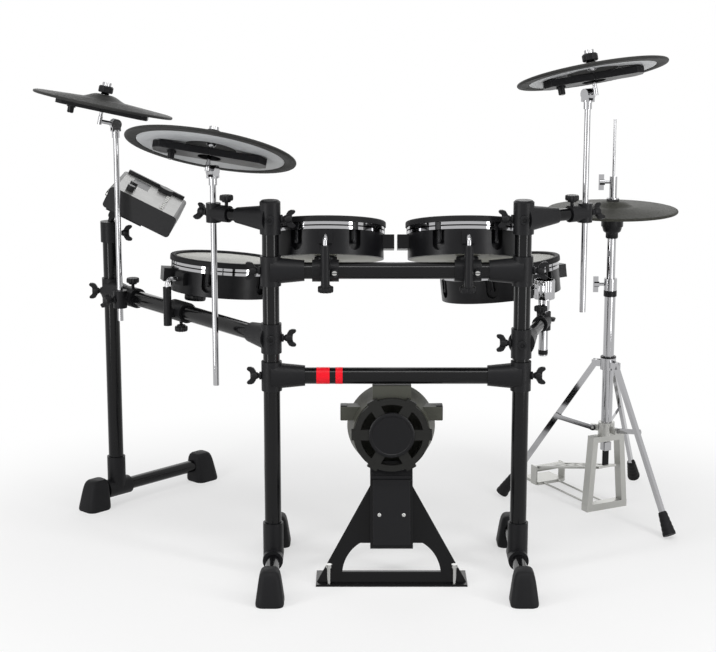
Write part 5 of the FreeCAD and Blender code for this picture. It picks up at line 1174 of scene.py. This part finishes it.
def camera():
    """Camera of the photo's view."""
    scene = bpy.context.scene
    scene.view_settings.view_transform = "Standard"
    lens = bpy.data.cameras.new("photo_view")
    lens.lens = CAMERA_LENS
    lens.clip_end = 100.0
    made = bpy.data.objects.new("photo_view", lens)
    scene.collection.objects.link(made)
    made.location = CAMERA_AT
    made.rotation_euler = (CAMERA_PITCH, 0, 0)
    scene.camera = made


def surround():
    """World that looks white and lights at a plain level."""
    world = bpy.data.worlds.new("white_surround")
    bpy.context.scene.world = world
    world.use_nodes = True
    tree = world.node_tree
    shader = tree.nodes["Background"]
    shader.inputs["Color"].default_value = (1, 1, 1, 1)
    strength = tree.nodes.new("ShaderNodeMapRange")
    strength.inputs["To Min"].default_value = WORLD_LIGHT
    tree.links.new(seen(tree), strength.inputs["Value"])
    tree.links.new(strength.outputs["Result"], shader.inputs["Strength"])


def pale_floor():
    corners = [Vector((x, y, 0)) for x, y in rectangle(FLOOR_HALF, FLOOR_HALF)]
    mesh = bpy.data.meshes.new("pale_floor")
    mesh.from_pydata(corners, [], [[0, 1, 2, 3]])
    floor = bpy.data.objects.new("pale_floor", mesh)
    bpy.context.scene.collection.objects.link(floor)
    mesh.materials.append(floor_material())


def seen(tree):
    """1 where the camera, a reflection or glass looks at a surface, and 0 where it only lights."""
    path = tree.nodes.new("ShaderNodeLightPath")
    total = path.outputs["Is Camera Ray"]
    for ray in ("Is Glossy Ray", "Is Transmission Ray"):
        add = tree.nodes.new("ShaderNodeMath")
        add.use_clamp = True
        tree.links.new(total, add.inputs[0])
        tree.links.new(path.outputs[ray], add.inputs[1])
        total = add.outputs["Value"]
    return total


def floor_material():
    made = material("pale_floor_paint", (0.93, 0.93, 0.93), (0.7, 0.8), mottle=0.01, shine=0.1)
    tree = made.node_tree
    shader = tree.nodes["Principled BSDF"]
    where = tree.nodes.new("ShaderNodeNewGeometry")
    length = tree.nodes.new("ShaderNodeVectorMath")
    length.operation = "LENGTH"
    tree.links.new(where.outputs["Position"], length.inputs[0])
    fade = tree.nodes.new("ShaderNodeMapRange")
    fade.interpolation_type = "SMOOTHSTEP"
    fade.inputs["From Min"].default_value = FADE_NEAR
    fade.inputs["From Max"].default_value = FADE_FAR
    fade.inputs["To Min"].default_value = FADE_LEAST
    tree.links.new(length.outputs["Value"], fade.inputs["Value"])
    share = tree.nodes.new("ShaderNodeMath")
    share.operation = "MULTIPLY"
    tree.links.new(fade.outputs["Result"], share.inputs[0])
    tree.links.new(seen(tree), share.inputs[1])
    white = tree.nodes.new("ShaderNodeEmission")
    mix = tree.nodes.new("ShaderNodeMixShader")
    tree.links.new(share.outputs["Value"], mix.inputs["Fac"])
    tree.links.new(shader.outputs["BSDF"], mix.inputs[1])
    tree.links.new(white.outputs["Emission"], mix.inputs[2])
    tree.links.new(mix.outputs["Shader"], tree.nodes["Material Output"].inputs["Surface"])
    return made


dress_nodes()
rack_bolts()
red_bands()
rubber_shoes()
tee_bosses()
snare_holder()
drum_pads()
tom_clamp_knobs()
under_knobs()
cymbals()
kick_front()
kick_pad()
kick_column()
hihat_boots()
hihat_board()
hihat_cup()
hihat_rings()
hihat_strap()
module_top()
module_jacks()
camera()
for settings in LAMPS:
    lamp(*settings)
surround()
pale_floor()
